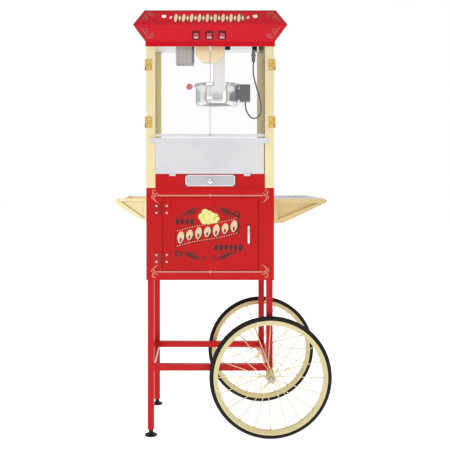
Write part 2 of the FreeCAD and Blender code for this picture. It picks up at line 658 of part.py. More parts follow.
def roof():
    """The hexagonal folded sign, the roof cover behind it and the ceiling tray."""
    fold = "half_depth + sign_fold"
    bent = padded("bent", "YZ_Plane",
                  [("-half_depth - 2", "sign_top"), (f"-({fold})", "sign_tip_z"),
                   ("-half_depth - 2", "sign_low"), ("-half_depth - 2", "sign_band"),
                   ("-half_depth", "sign_band"), ("-half_depth", "sign_low"),
                   (f"-({fold}) + sign_sheet", "sign_tip_z"), ("-half_depth", "sign_top")],
                  "2 * sign_tip + 2")
    outline = padded("outline", "XZ_Plane",
                     [("-sign_low_x", "sign_band"), ("-sign_low_x", "sign_low"),
                      ("-sign_tip", "sign_tip_z"), ("-sign_top_x", "sign_top"),
                      ("sign_top_x", "sign_top"), ("sign_tip", "sign_tip_z"),
                      ("sign_low_x", "sign_low"), ("sign_low_x", "sign_band")],
                     "3 * half_depth")
    place(bent, "cabinet_x", "0", "0")
    place(outline, "cabinet_x", "0", "0")
    centres = [size("switch_x") + step * size("switch_pitch") for step in (-1, 0, 1)]
    wide, high, flange = size("hole_wide"), size("hole_high"), size("bezel_flange")
    gap = 2 * size("bezel_fit")
    wall = 2 * size("bezel_wall")
    holes = [slanted_box(wide, high, -size("well_depth"), 2 * size("well_depth"), x)
             for x in centres]
    node(cut(common(bent, outline), *holes), "roof_sign")

    bezels = []
    for x in centres:
        frame_plate = slanted_box(size("bezel_wide"), size("bezel_high"), -flange, 0, x)
        sleeve = slanted_box(wide - gap, high - gap, -flange / 2, size("sleeve_depth"), x)
        well = slanted_box(wide - gap - wall, high - gap - wall, -2 * flange,
                           size("well_depth"), x)
        bezels.append(cut(fuse(frame_plate, sleeve), well))
    node(group(*bezels), "switch_bezels")
    for name, x in zip(("light", "kettle", "warmer"), centres):
        rocker = slanted_box(size("rocker_wide"), size("rocker_high"), -size("rocker_front"),
                             size("rocker_back"), x)
        node(rocker, f"{name}_rocker")

    inner = ("-half_width + sheet", "half_width - sheet")
    deep = ("-half_depth + sheet", "half_depth - sheet")
    cover = block(("-half_width", "half_width"), ("-half_depth", "half_depth"),
                  ("roof_floor", "roof_top"))
    node(cut(cover, block(inner, deep, ("roof_floor - 1", "roof_top - sheet"))), "roof_cover")
    tray = block(inner, deep, ("ceiling", "roof_floor"))
    node(cut(tray, block(("-half_width + 2 * sheet", "half_width - 2 * sheet"),
                         ("-half_depth + 2 * sheet", "half_depth - 2 * sheet"),
                         ("ceiling + sheet", "roof_floor + 1")),
             rod("z", "stirrer_radius + 2", "pivot_x", "-hanger_y - 6",
                 ("ceiling - 1", "ceiling + 3"))), "ceiling_tray")


def lamps():
    """A steel heat-lamp shade with its bulb, and a tapered cream light diffuser."""
    shade = block(("lamp_x - lamp_half", "lamp_x + lamp_half"), ("-lamp_half", "lamp_half"),
                  ("lamp_low", "ceiling"))
    inside = block(("lamp_x - lamp_half + lamp_sheet", "lamp_x + lamp_half - lamp_sheet"),
                   ("-lamp_half + lamp_sheet", "lamp_half - lamp_sheet"),
                   ("lamp_low - 1", "ceiling - lamp_sheet"))
    node(cut(shade, inside), "heat_lamp_shade")
    bulb = turned("bulb", [("0", "0"), ("bulb_radius - 4", "2"), ("bulb_radius", "10"),
                           ("bulb_radius - 8", "34"), ("13", "48"), ("13", "64"), ("0", "64")])
    place(bulb, across("lamp_x"), "0", "ceiling - lamp_sheet - 64")
    node(bulb, "heat_lamp_bulb")
    light = padded("light", "XZ_Plane",
                   [("-light_half", "ceiling"), ("-light_half", "light_step"),
                    ("-light_tip", "light_low"), ("light_tip", "light_low"),
                    ("light_half", "light_step"), ("light_half", "ceiling")],
                   "2 * light_depth")
    place(light, across("light_x"), "light_y", "0")
    node(light, "light_diffuser")


# ---------------------------------------------------------------------- kettle

def kettle():
    """A stainless kettle between two hangers, with lids, stirrer, lever and terminal box."""
    pan = turned("pan", [("0", "0"), ("kettle_radius - kettle_corner", "0"),
                         ("kettle_radius", "kettle_corner"),
                         ("kettle_radius", "kettle_rim_low - kettle_low"),
                         ("rim_radius", "kettle_rim_low - kettle_low"),
                         ("rim_radius", "kettle_rim - kettle_low"),
                         ("kettle_radius - kettle_wall", "kettle_rim - kettle_low"),
                         ("kettle_radius - kettle_wall", "kettle_corner"),
                         ("kettle_radius - kettle_corner", "kettle_wall"), ("0", "kettle_wall")])
    place(pan, across("kettle_x"), "0", "kettle_low")
    pins = [rod("y", "pivot_radius", "pivot_x", span, "pivot_z")
            for span in (("-hanger_y - 5", "1.5 - kettle_radius"),
                         ("kettle_radius - 1.5", "hanger_y + 5"))]
    node(fuse(pan, *pins), "kettle_pan")

    bar = block(("kettle_x - bar_half", "kettle_x + bar_half"), ("-rim_radius", "rim_radius"),
                ("kettle_rim", "bar_top"))
    bore = rod("z", "stirrer_radius + bore_fit", "kettle_x", "0",
               ("kettle_rim - 1", "bar_top - 5"))
    node(cut(bar, bore), "lid_crossbar")
    disc = ("z", "rim_radius", "kettle_x", "0", ("kettle_rim", "kettle_rim + lid_sheet"))
    for name, x in (("left", ("kettle_x - rim_radius", "kettle_x - bar_half - 0.5")),
                    ("right", ("kettle_x + bar_half + 0.5", "kettle_x + rim_radius"))):
        half = block(x, ("-rim_radius", "rim_radius"), ("kettle_rim - 1", "kettle_rim + 9"))
        node(common(rod(*disc), half), f"kettle_lid_{name}")

    shaft = rod("z", "stirrer_radius", "kettle_x", "0",
                ("kettle_low + kettle_wall + 2", "bar_top - 6"))
    blades = block(("kettle_x - blade_half", "kettle_x + blade_half"),
                   ("-blade_width / 2", "blade_width / 2"), ("blade_low", "blade_low + blade"))
    node(fuse(shaft, blades), "stirrer")

    lever = block(("lever_end", "kettle_x - rim_radius + kettle_wall"),
                  ("-lever_half", "lever_half"), ("lever_low", "lever_high"))
    rim = rod("z", "rim_radius", "kettle_x", "0", ("kettle_rim_low", "kettle_rim"))
    node(cut(lever, rim), "dump_lever")
    ball = doc.addObject("Part::Sphere", "ball")
    bind(ball, "Radius", "ball_radius")
    place(ball, across("ball_x"), "0", "(lever_low + lever_high) / 2")
    node(ball, "dump_knob")
    terminal = block(("box_left", "box_right"), ("-box_half", "box_half"), ("box_low", "box_high"))
    neck = block(("kettle_x + kettle_radius - kettle_wall", "box_left"),
                 ("-neck_half", "neck_half"), ("neck_low", "neck_high"))
    body = rod("z", "kettle_radius", "kettle_x", "0", ("kettle_low", "kettle_rim_low"))
    node(cut(fuse(terminal, neck), body), "terminal_box")


def kettle_hangers():
    """
    Two steel channels from the ceiling, bored for the pins that the kettle tips on. The
    front one has a cover plate, which hides the stirrer's shaft.
    """
    hangers = []
    for side in (-1, 1):
        def pair(near, far):
            return (f"-({far})", f"-({near})") if side < 0 else (near, far)

        height = ("hanger_low", "ceiling")
        edge = "pivot_x + hanger_half"
        web = block(("pivot_x - hanger_half", "pivot_x + hanger_half"),
                    pair("hanger_y", "hanger_y + hanger_sheet"), height)
        flanges = [block((low, high), pair("hanger_y", "hanger_y + hanger_flange"), height)
                   for low, high in (("pivot_x - hanger_half", "pivot_x - hanger_half + hanger_sheet"),
                                     (f"{edge} - hanger_sheet", edge))]
        bore = rod("y", "pivot_radius + bore_fit", "pivot_x",
                   pair("hanger_y - 1", "hanger_y + 2 * hanger_sheet"), "pivot_z")
        channel = fuse(web, *flanges)
        if side < 0:
            front = "-hanger_y - hanger_flange"
            channel = fuse(channel, block(
                ("pivot_x - hanger_half", "pivot_x + hanger_half"),
                (f"{front} - hanger_sheet", front), height))
        hangers.append(cut(channel, bore))
    node(group(*hangers), "kettle_hangers")


def drive_and_socket():
    """The stirrer motor on the ceiling, its shaft down the front hanger, and the socket."""
    y = "-hanger_y - 6 - hanger_sheet"
    motor = block(("pivot_x - motor_half", "pivot_x + motor_half"),
                  ("-motor_front", "-motor_back"), ("ceiling + sheet", "roof_top - 3 * sheet"))
    sleeve = rod("z", "stirrer_radius + bore_fit", "pivot_x", y,
                 ("ceiling", "ceiling + collar_length"))
    node(cut(motor, sleeve), "stirrer_motor")
    node(rod("z", "stirrer_radius", "pivot_x", y,
             ("shaft_low", "ceiling + collar_length - 1")), "drive_shaft")
    node(block(("socket_x - socket_half", "socket_x + socket_half"),
               ("-socket_depth", "socket_depth"), ("socket_low", "ceiling")), "kettle_socket")
    plug = rod("z", "plug_radius", "plug_x", "0", ("plug_low", "socket_low"))
    collar_ring = rod("z", "collar_radius", "plug_x", "0", ("collar_z", "collar_z + collar"))
    node(fuse(plug, collar_ring), "kettle_plug")


LEAD_ROUTE = [(171, 0, 1390), (169, -1, 1362), (171, -3, 1334), (178, -6, 1305), (187, -9, 1276),
              (195, -10, 1246), (200, -9, 1215), (199, -7, 1186), (185, -5, 1170),
              (163, -3, 1170), (149, -2, 1187), (139, 0, 1211), (139, 0, 1235)]


def lead_path(points):
    """Straight runs joined by arcs, each as large as its two runs allow."""
    edges = []
    start = points[0]
    for before, corner, after in zip(points, points[1:], points[2:]):
        run_in, run_out = corner - before, after - corner
        turn = run_in.getAngle(run_out)
        reach = 0.45 * min(run_in.Length, run_out.Length)
        print(f"lead bend radius {reach / math.tan(turn / 2):.1f} mm")
        arc_start = corner - run_in.normalize() * reach
        arc_end = corner + run_out.normalize() * reach
        inward = (arc_start + arc_end) / 2 - corner
        radius = reach / math.tan(turn / 2)
        middle = corner + inward.normalize() * (radius / math.cos(turn / 2) - radius)
        edges.append(Part.LineSegment(start, arc_start).toShape())
        edges.append(Part.Arc(arc_start, middle, arc_end).toShape())
        start = arc_end
    edges.append(Part.LineSegment(start, points[-1]).toShape())
    return Part.Wire(edges)


def kettle_lead():
    """The rubber lead that hangs in a loop from the ceiling plug to the terminal box."""
    points = [Vector(size("cabinet_x") + x, y, z) for x, y, z in LEAD_ROUTE]
    path = lead_path(points)
    ring = Part.Wire(Part.Circle(points[0], points[1] - points[0], size("lead_radius")).toShape())
    tube = path.makePipeShell([ring], True, True)
    section = math.pi * size("lead_radius") ** 2
    print(f"lead length {path.Length:.1f} mm, volume ratio {tube.Volume / section / path.Length:.4f}")
    lead = doc.addObject("Part::Feature", "lead")
    lead.Shape = tube
    node(lead, "kettle_lead")


def check_and_write():
    """Stop on any failed object, then write each sub-part to its own file."""
    doc.recompute()
    for thing in doc.Objects:
        if {"Invalid", "Error"} & set(thing.State):
            raise RuntimeError(f"{thing.Name} ({thing.Label}) did not build: {thing.State}")
    os.makedirs("parts", exist_ok=True)
    whole = FreeCAD.BoundBox()
    for thing in nodes:
        if thing.Shape.isNull() or not thing.Shape.isValid() or thing.Shape.Volume <= 0:
            raise RuntimeError(f"{thing.Label} has no valid shape")
        thing.Shape.exportStep(f"parts/{thing.Label}.step")
        whole.add(thing.Shape.BoundBox)
    print(f"{len(nodes)} nodes, box {whole}")


cart_cabinet()
cart_door()
cart_frame()
levelling_feet()
axle()
wheel("front", -1)
wheel("rear", 1)
push_handle()
side_shelf()
popper_posts()
popper_windows()
popper_doors()
serving_panel()
popper_base()
kernel_drawer()
roof()
lamps()
kettle()
kettle_hangers()
drive_and_socket()
kettle_lead()
check_and_write()
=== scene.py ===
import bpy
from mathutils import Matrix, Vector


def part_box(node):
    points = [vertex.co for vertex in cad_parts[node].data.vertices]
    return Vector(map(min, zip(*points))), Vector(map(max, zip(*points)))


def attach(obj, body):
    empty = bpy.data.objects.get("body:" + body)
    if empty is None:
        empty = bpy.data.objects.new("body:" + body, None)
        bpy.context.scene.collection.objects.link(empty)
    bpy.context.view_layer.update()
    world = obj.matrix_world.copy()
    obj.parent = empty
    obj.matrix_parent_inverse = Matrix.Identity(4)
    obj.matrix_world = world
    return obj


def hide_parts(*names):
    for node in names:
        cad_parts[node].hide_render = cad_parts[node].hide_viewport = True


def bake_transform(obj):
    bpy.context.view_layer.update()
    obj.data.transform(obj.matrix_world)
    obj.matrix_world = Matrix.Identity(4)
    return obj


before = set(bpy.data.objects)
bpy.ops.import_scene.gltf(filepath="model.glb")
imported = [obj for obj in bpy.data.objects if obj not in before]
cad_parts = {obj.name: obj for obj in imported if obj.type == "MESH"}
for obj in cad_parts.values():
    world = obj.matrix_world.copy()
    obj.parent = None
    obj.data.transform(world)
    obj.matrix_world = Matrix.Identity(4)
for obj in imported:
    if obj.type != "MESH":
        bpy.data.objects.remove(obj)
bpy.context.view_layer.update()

import math

import bmesh
import bpy
from mathutils import Matrix, Vector

# ---- Studio ------------------------------------------------------------------------------------
# A white floor lit from above and below, under soft lights. The camera stands 2.7 m in front of
# the cart, level, at the height of the popper's base and a little to the left of its middle.
cart_low, cart_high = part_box("cart_front_frame")
middle_x = (cart_low.x + cart_high.x) / 2
front_y = cart_low.y


def to_linear(hex_colour):
    """An sRGB hex colour as linear RGBA."""
    parts = [int(hex_colour[i:i + 2], 16) / 255 for i in (0, 2, 4)]
    return tuple(p / 12.92 if p <= 0.04045 else ((p + 0.055) / 1.055) ** 2.4 for p in parts) + (1,)


def add(tree, kind, inputs=None, **settings):
    """Add a node with its settings; inputs are values or the sockets that feed it."""
    item = tree.nodes.new(kind)
    for name, value in settings.items():
        setattr(item, name, value)
    for name, value in (inputs or {}).items():
        if isinstance(value, bpy.types.NodeSocket):
            tree.links.new(value, item.inputs[name])
        else:
            item.inputs[name].default_value = value
    return item


def finish_coat(name, light, dark, grain_mm, rough, bump_mm, stretch=(1, 1, 1), spread=0.06,
                **sockets):
    """A surface whose colour, roughness and height wander with a grain of the given size."""
    coat = bpy.data.materials.new(name)
    coat.use_nodes = True
    tree = coat.node_tree
    shader = tree.nodes["Principled BSDF"]
    for socket, value in sockets.items():
        shader.inputs[socket.replace("_", " ")].default_value = value
    place = add(tree, "ShaderNodeTexCoord").outputs["Object"]
    scaled = add(tree, "ShaderNodeMapping", {"Vector": place, "Scale": stretch})
    grain = add(tree, "ShaderNodeTexNoise", {"Vector": scaled.outputs[0], "Scale": 1000 / grain_mm,
                                             "Detail": 3})
    drift = add(tree, "ShaderNodeTexNoise", {"Vector": place, "Scale": 7, "Detail": 2})
    mottle = add(tree, "ShaderNodeMath", {0: grain.outputs[0], 1: drift.outputs[0]},
                 operation="MULTIPLY")
    colour = add(tree, "ShaderNodeValToRGB", {"Fac": mottle.outputs[0]})
    colour.color_ramp.elements[0].position = 0.12
    colour.color_ramp.elements[1].position = 0.42
    colour.color_ramp.elements[0].color = to_linear(dark)
    colour.color_ramp.elements[1].color = to_linear(light)
    gloss = add(tree, "ShaderNodeMapRange", {"Value": grain.outputs[0], "To Min": rough - spread,
                                             "To Max": rough + spread})
    bump = add(tree, "ShaderNodeBump", {"Height": grain.outputs[0], "Strength": 0.35,
                                        "Distance": bump_mm / 1000})
    tree.links.new(colour.outputs[0], shader.inputs["Base Color"])
    tree.links.new(gloss.outputs[0], shader.inputs["Roughness"])
    tree.links.new(bump.outputs[0], shader.inputs["Normal"])
    return coat


def new_piece(name, mesh, coat=None, smooth=True):
    """An object at the origin for a finished mesh, in one material unless it has its own."""
    piece = bpy.data.objects.new(name, mesh)
    bpy.context.scene.collection.objects.link(piece)
    if coat:
        mesh.materials.clear()
        mesh.materials.append(coat)
    if smooth:
        mesh.shade_smooth()
    return piece


def from_shape(name, shape, coat, smooth=True):
    """A piece from a bmesh, with its faces turned outwards."""
    mesh = bpy.data.meshes.new(name)
    bmesh.ops.recalc_face_normals(shape, faces=shape.faces)
    shape.to_mesh(mesh)
    shape.free()
    return new_piece(name, mesh, coat, smooth)


floor_paint = finish_coat("white_studio_floor", "FFFFFF", "FAFAFA", 40, 0.8, 0.05,
                          Emission_Color=(1, 1, 1, 1), Emission_Strength=0.75,
                          Specular_IOR_Level=0.1)
ground = bmesh.new()
bmesh.ops.create_grid(ground, x_segments=8, y_segments=8, size=14)
studio_floor = from_shape("studio_floor", ground, floor_paint)

camera_data = bpy.data.cameras.new("camera")
camera_data.lens = 59.5
camera_data.shift_x = 0.0498
camera_data.shift_y = -0.104
camera = bpy.data.objects.new("camera", camera_data)
bpy.context.scene.collection.objects.link(camera)
camera.location = (middle_x - 0.0275, front_y - 2.70, 0.937)
camera.rotation_euler = (math.radians(90), 0, 0)
bpy.context.scene.camera = camera


def soft_light(name, spot, target, width, height, watts):
    """A rectangular softbox that faces a target."""
    data = bpy.data.lights.new(name, "AREA")
    data.shape = "RECTANGLE"
    data.size, data.size_y, data.energy = width, height, watts
    lamp = bpy.data.objects.new(name, data)
    bpy.context.scene.collection.objects.link(lamp)
    lamp.location = spot
    lamp.rotation_euler = (Vector(target) - Vector(spot)).to_track_quat("-Z", "Y").to_euler()


soft_light("key_softbox", (-2.2, -2.6, 2.4), (0, 0, 0.9), 1.6, 2.2, 30)
soft_light("fill_softbox", (2.4, -2.4, 1.7), (0, 0, 0.9), 1.4, 2.2, 17)
soft_light("top_softbox", (0, -0.3, 3.2), (0, 0, 0.6), 2.2, 2.2, 9)
soft_light("back_softbox", (1.6, 2.8, 2.2), (0, 0, 0.9), 1.8, 1.8, 22)

# The room is white to the camera. In reflections it has pale and grey bands, as a studio with
# softboxes and open space between them does.
room = bpy.data.worlds.new("studio_room")
room.use_nodes = True
bpy.context.scene.world = room
sky = room.node_tree
sky.nodes.clear()
bearing = add(sky, "ShaderNodeTexCoord").outputs["Generated"]
bands = add(sky, "ShaderNodeTexWave", {"Vector": bearing, "Scale": 1.5, "Distortion": 0.4,
                                       "Detail": 1, "Phase Offset": 1.9}, bands_direction="X")
walls = add(sky, "ShaderNodeValToRGB", {"Fac": bands.outputs["Fac"]})
walls.color_ramp.elements[0].color = to_linear("2C2F34")
walls.color_ramp.elements[0].position = 0.16
walls.color_ramp.elements[1].color = to_linear("FFFFFF")
walls.color_ramp.elements[1].position = 0.5
seen = add(sky, "ShaderNodeLightPath").outputs["Is Camera Ray"]
mixed = add(sky, "ShaderNodeMix", {0: seen, 6: walls.outputs[0], 7: (1, 1, 1, 1)},
            data_type="RGBA")
lift = add(sky, "ShaderNodeLightPath").outputs["Is Diffuse Ray"]
strength = add(sky, "ShaderNodeMapRange", {"Value": lift, "To Min": 1.0, "To Max": 0.62})
glow = add(sky, "ShaderNodeBackground", {"Color": mixed.outputs[2],
                                         "Strength": strength.outputs[0]})
add(sky, "ShaderNodeOutputWorld", {"Surface": glow.outputs[0]})
bpy.context.scene.view_settings.view_transform = "Standard"


# ---- Legs and rails -----------------------------------------------------------------------------
# Square steel tube, welded and powder coated red. The powder flows into a fine orange peel about
# 2 mm from bump to bump, under a hard glossy skin.
def dress(coat, *names):
    """Give CAD nodes a finished material in place of their plain one."""
    for name in names:
        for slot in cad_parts[name].material_slots:
            slot.material = coat


red_powder = finish_coat("red_powder_coated_steel", "C60B10", "BA080C", 2.0, 0.32, 0.02,
                         Coat_Weight=0.06, Coat_Roughness=0.12, Specular_IOR_Level=0.22)
dress(red_powder, "cart_legs", "lower_rails")

# ---- Levelling feet -----------------------------------------------------------------------------
# Black nylon pads moulded round a threaded stem; spark-eroded moulds leave a fine matt grain.
black_nylon = finish_coat("black_moulded_nylon", "161618", "0C0C0E", 0.9, 0.45, 0.03,
                          Specular_IOR_Level=0.3)
dress(black_nylon, "levelling_feet")

# ---- Axle and brackets --------------------------------------------------------------------------
# A bright zinc-plated steel axle with cap nuts, held in welded plates. Plating is slightly
# cloudy, at about 1 mm.
zinc_plate = finish_coat("zinc_plated_steel", "C9C2B4", "A9A294", 1.0, 0.28, 0.01, Metallic=0.9)
dress(zinc_plate, "axle", "shelf_rod", "drive_shaft", "stirrer_motor")

# ---- Wheels -------------------------------------------------------------------------------------
# Solid rubber tyres pressed on cream-gold enamelled channel rims. Each spoke is drawn up by a
# brass nipple that stands out of the rim.
tyre_rubber = finish_coat("solid_black_rubber", "141416", "0A0A0C", 2.5, 0.55, 0.05,
                          Specular_IOR_Level=0.25)
rim_enamel = finish_coat("cream_gold_enamel", "DDD3A0", "CDC189", 1.4, 0.3, 0.015,
                         Coat_Weight=0.2)
dress(tyre_rubber, "front_tyre", "rear_tyre")
dress(rim_enamel, "front_rim", "rear_rim", "front_hub_and_spokes", "rear_hub_and_spokes")


def grown(name, seats, tree, sizes, body):
    """Run a node tree on loose points and keep what it grows there as a plain piece."""
    host = bpy.data.meshes.new(name + "_seats")
    host.from_pydata(seats, [], [])
    seed = bpy.data.objects.new(name + "_seed", host)
    bpy.context.scene.collection.objects.link(seed)
    grower = seed.modifiers.new("grown", "NODES")
    grower.node_group = tree
    for socket in tree.interface.items_tree:
        if socket.name in sizes:
            grower[socket.identifier] = sizes[socket.name]
    ready = seed.evaluated_get(bpy.context.evaluated_depsgraph_get())
    mesh = bpy.data.meshes.new_from_object(ready)
    seed.modifiers.clear()
    bpy.data.objects.remove(seed)
    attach(new_piece(name, mesh), body)


def growing_tree(name, **sizes):
    """An empty node tree with a mesh coming in, a mesh going out, and named sizes."""
    tree = bpy.data.node_groups.new(name, "GeometryNodeTree")
    tree.interface.new_socket("Geometry", in_out="INPUT", socket_type="NodeSocketGeometry")
    for label, kind in sizes.items():
        tree.interface.new_socket(label.replace("_", " "), in_out="INPUT",
                                  socket_type="NodeSocket" + kind)
    tree.interface.new_socket("Geometry", in_out="OUTPUT", socket_type="NodeSocketGeometry")
    return tree, add(tree, "NodeGroupInput").outputs


def end_tree(tree, geometry, coat=None):
    """Make a tree's instances real, in one material unless they have their own."""
    ready = add(tree, "GeometryNodeRealizeInstances", {0: geometry})
    if coat:
        ready = add(tree, "GeometryNodeSetMaterial", {0: ready.outputs[0], "Material": coat})
    add(tree, "NodeGroupOutput", {0: ready.outputs[0]})


nipple_brass = finish_coat("nipple_brass", "D9BE7A", "BFA25E", 0.6, 0.3, 0.01, Metallic=0.8)
nipple_tree, given = growing_tree("spoke_nipples", Centre="Vector", Nipple_Radius="Float",
                                  Nipple_Length="Float")
barrel = add(nipple_tree, "GeometryNodeMeshCone", {"Vertices": 8,
             "Radius Top": given["Nipple Radius"], "Radius Bottom": given["Nipple Radius"],
             "Depth": given["Nipple Length"]})
spot = add(nipple_tree, "GeometryNodeInputPosition")
outward = add(nipple_tree, "ShaderNodeVectorMath", {0: spot.outputs[0], 1: given["Centre"]},
              operation="SUBTRACT")
facing = add(nipple_tree, "FunctionNodeAlignRotationToVector", {"Vector": outward.outputs[0]})
facing.axis = "Z"
set_in = add(nipple_tree, "GeometryNodeInstanceOnPoints", {"Points": given["Geometry"],
             "Instance": barrel.outputs[0], "Rotation": facing.outputs[0]})
end_tree(nipple_tree, set_in.outputs[0], nipple_brass)
SPOKES, RIM_DEPTH, SEAT_DEPTH = 20, 0.0166, 0.004
for wheel_name in ("front", "rear"):
    rim_low, rim_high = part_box(f"{wheel_name}_rim")
    centre = (rim_low + rim_high) / 2
    reach = (rim_high.x - rim_low.x) / 2 - RIM_DEPTH - SEAT_DEPTH
    grown(f"{wheel_name}_spoke_nipples",
          [(centre.x + reach * math.cos(math.tau * turn / SPOKES), centre.y,
            centre.z + reach * math.sin(math.tau * turn / SPOKES)) for turn in range(SPOKES)],
          nipple_tree, {"Centre": centre, "Nipple Radius": 0.0024, "Nipple Length": 0.009},
          f"{wheel_name}_wheel")

# ---- Cart cabinet -------------------------------------------------------------------------------
# Folded sheet panels in the same red powder coat. The front carries two printed lines in a dull
# pinkish gold, each with a small lozenge at its middle and a leaf scroll at each end.
dress(red_powder, "cart_panels", "cart_shelves", "cart_front_frame", "popper_base")


def smooth_line(points, steps=7):
    """A flowing line through the given points; every number of a point flows with it."""
    ends = [points[0]] + list(points) + [points[-1]]
    line = []
    for a, b, c, d in zip(ends, ends[1:], ends[2:], ends[3:]):
        for step in range(steps):
            t = step / steps
            line.append(tuple(0.5 * (2 * q + (r - p) * t + (2 * p - 5 * q + 4 * r - s) * t * t
                                     + (3 * q - p - 3 * r + s) * t ** 3)
                              for p, q, r, s in zip(a, b, c, d)))
    return line + [tuple(points[-1])]


def ink_patch(shape, outline, on_face, low=0.0, high=0.00025):
    """A filled outline printed on a face, from one height above it to another."""
    back = [shape.verts.new(on_face(u, v, low)) for u, v in outline]
    front = [shape.verts.new(on_face(u, v, high)) for u, v in outline]
    shape.faces.new(front)
    shape.faces.new(back[::-1])
    for i in range(len(outline)):
        j = (i + 1) % len(outline)
        shape.faces.new((back[i], back[j], front[j], front[i]))


def ink_stroke(shape, points, on_face, low=0.0, high=0.00025):
    """A brush stroke along a flowing line of (u, v, half width) points."""
    line = smooth_line(points)
    edges = []
    for i, (u, v, half) in enumerate(line):
        before, after = line[max(i - 1, 0)], line[min(i + 1, len(line) - 1)]
        along = Vector((after[0] - before[0], after[1] - before[1])).normalized()
        side = Vector((-along.y, along.x)) * max(half, 0.0002)
        edges.append([shape.verts.new(on_face(u + sign * side.x, v + sign * side.y, height))
                      for sign, height in ((1, low), (1, high), (-1, high), (-1, low))])
    for first, second in zip(edges, edges[1:]):
        for i in range(4):
            j = (i + 1) % 4
            shape.faces.new((first[i], first[j], second[j], second[i]))
    shape.faces.new(edges[0])
    shape.faces.new(edges[-1][::-1])


def lozenge(u, v, wide, high):
    """A lozenge's outline about its middle."""
    return [(u - wide, v), (u, v + high), (u + wide, v), (u, v - high)]


def oblong(left, low, right, high):
    """An upright rectangle's outline."""
    return [(left, low), (right, low), (right, high), (left, high)]


def disc(u, v, radius, corners):
    """A round outline about its middle."""
    return [(u + radius * math.cos(math.tau * i / corners),
             v + radius * math.sin(math.tau * i / corners)) for i in range(corners)]


def on_cart_front(u, v, out):
    """A point on the cart's front: u across from its middle, v up from the floor."""
    return (middle_x + u, front_y - out, v)


def scroll(shape, strokes, u, v, side, up, on_face):
    """Leaf strokes in millimetres, drawn out from (u, v) to one side, up or down."""
    for stroke in strokes:
        ink_stroke(shape, [(u + side * a / 1000, v + up * b / 1000, half / 1000)
                           for a, b, half in stroke], on_face)


LINE_END = (((-9, 0, 0.8), (0, 4, 1.7), (6, 11, 2.0), (5, 18, 1.4), (-1, 21, 1.1), (-4, 17, 0.9),
             (-1, 14, 0.5)),
            ((-10, 0, 0.8), (0, -3, 2.0), (3, -10, 2.2), (-3, -18, 1.7), (-15, -26, 0.4)),
            ((4, 4, 0.4), (9, -3, 1.5), (8, -13, 0.4)),
            ((-3, 5, 0.4), (-9, 9, 1.4), (-15, 7, 0.4)))
gold_ink = finish_coat("dull_gold_screen_ink", "D99A86", "C07C6A", 2.2, 0.4, 0.005)
trim = bmesh.new()
HALF_LINE = 0.0024
for height, up in ((0.874, 1), (0.597, -1)):
    for side in (-1, 1):
        ink_patch(trim, [(side * 0.004, height - HALF_LINE), (side * 0.188, height - HALF_LINE),
                         (side * 0.194, height), (side * 0.188, height + HALF_LINE),
                         (side * 0.004, height + HALF_LINE)], on_cart_front)
        scroll(trim, LINE_END, side * 0.203, height, side, up, on_cart_front)
    ink_patch(trim, lozenge(0, height, 0.0062, 0.0068), on_cart_front, 0, 0.0004)
cart_trim = from_shape("cart_trim_lines", trim, gold_ink, smooth=False)
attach(cart_trim, "root")

# ---- Cart door ----------------------------------------------------------------------------------
# A folded steel door, screen printed in black, cream and yellow inks: leaf scrolls above and
# below a slanting ribbon that carries a row of corn kernels, and a popped cluster over it.
dress(red_powder, "cart_door")
ink_black = finish_coat("black_screen_ink", "3A1214", "250B0C", 2.0, 0.42, 0.005)
ink_cream = finish_coat("cream_screen_ink", "F0D9B4", "DDBE92", 3.0, 0.42, 0.005)
ink_red = finish_coat("deep_red_screen_ink", "B5141E", "A81019", 3.0, 0.36, 0.005)

dark_art = bmesh.new()
OVER = (((28, 31, 0.5), (45, 33, 1.8), (60, 29, 2.6), (80, 17, 2.6), (106, 2, 0.5)),
        ((38, 24, 0.5), (52, 24, 2.6), (70, 15, 3.0), (90, 3, 0.5)),
        ((40, 15, 0.5), (54, 14, 2.6), (66, 7, 2.2), (78, 0, 0.5)),
        ((28, 32, 0.4), (21, 36, 1.5), (14, 33, 1.3), (17, 28, 0.5)),
        ((80, -1, 0.6), (140, -1, 0.4)))
UNDER = (((26, -33, 0.5), (40, -31, 2.0), (58, -25, 2.8), (78, -14, 2.8), (106, -3, 0.5)),
         ((32, -25, 0.5), (50, -21, 2.6), (70, -11, 2.6), (88, -3, 0.5)),
         ((38, -16, 0.5), (52, -11, 2.2), (64, -3, 0.6)), ((80, 0, 0.6), (134, 0, 0.4)))
ART_MIDDLE, OVER_FOOT, UNDER_TOP, CURL_HEIGHT = -0.006, 0.796, 0.674, 0.650
for side in (-1, 1):
    scroll(dark_art, OVER, ART_MIDDLE, OVER_FOOT, side, 1, on_cart_front)
    scroll(dark_art, UNDER, ART_MIDDLE, UNDER_TOP, side, 1, on_cart_front)
    curl = []
    for t in range(8):
        radius, angle = 0.0095 - 0.0009 * t, t * 0.9 + 2.6
        curl.append((ART_MIDDLE + side * (0.0185 + radius * math.cos(angle)),
                     CURL_HEIGHT + radius * math.sin(angle), 0.0015))
    ink_stroke(dark_art, curl, on_cart_front)
# rolled ends of the ribbon
for u, v, turn in ((-0.112, 0.663, 1), (0.093, 0.806, -1)):
    roll = [(u + turn * (0.0145 - 0.0014 * t) * math.cos(0.8 * t + 2.2),
             v + turn * (0.0125 - 0.0012 * t) * math.sin(0.8 * t + 2.2), 0.0032 - 0.0002 * t)
            for t in range(10)]
    ink_stroke(dark_art, roll, on_cart_front)
# the ribbon's slanting frame
ribbon_left, ribbon_right, ribbon_foot, ribbon_top = -0.126, 0.104, -0.008, 0.056


def slant(u, lift):
    """A point of the ribbon, which rises from left to right with a gentle wave."""
    t = (u - ribbon_left) / (ribbon_right - ribbon_left)
    return (u, 0.692 + lift + 0.052 * t + 0.003 * math.sin(math.tau * t))


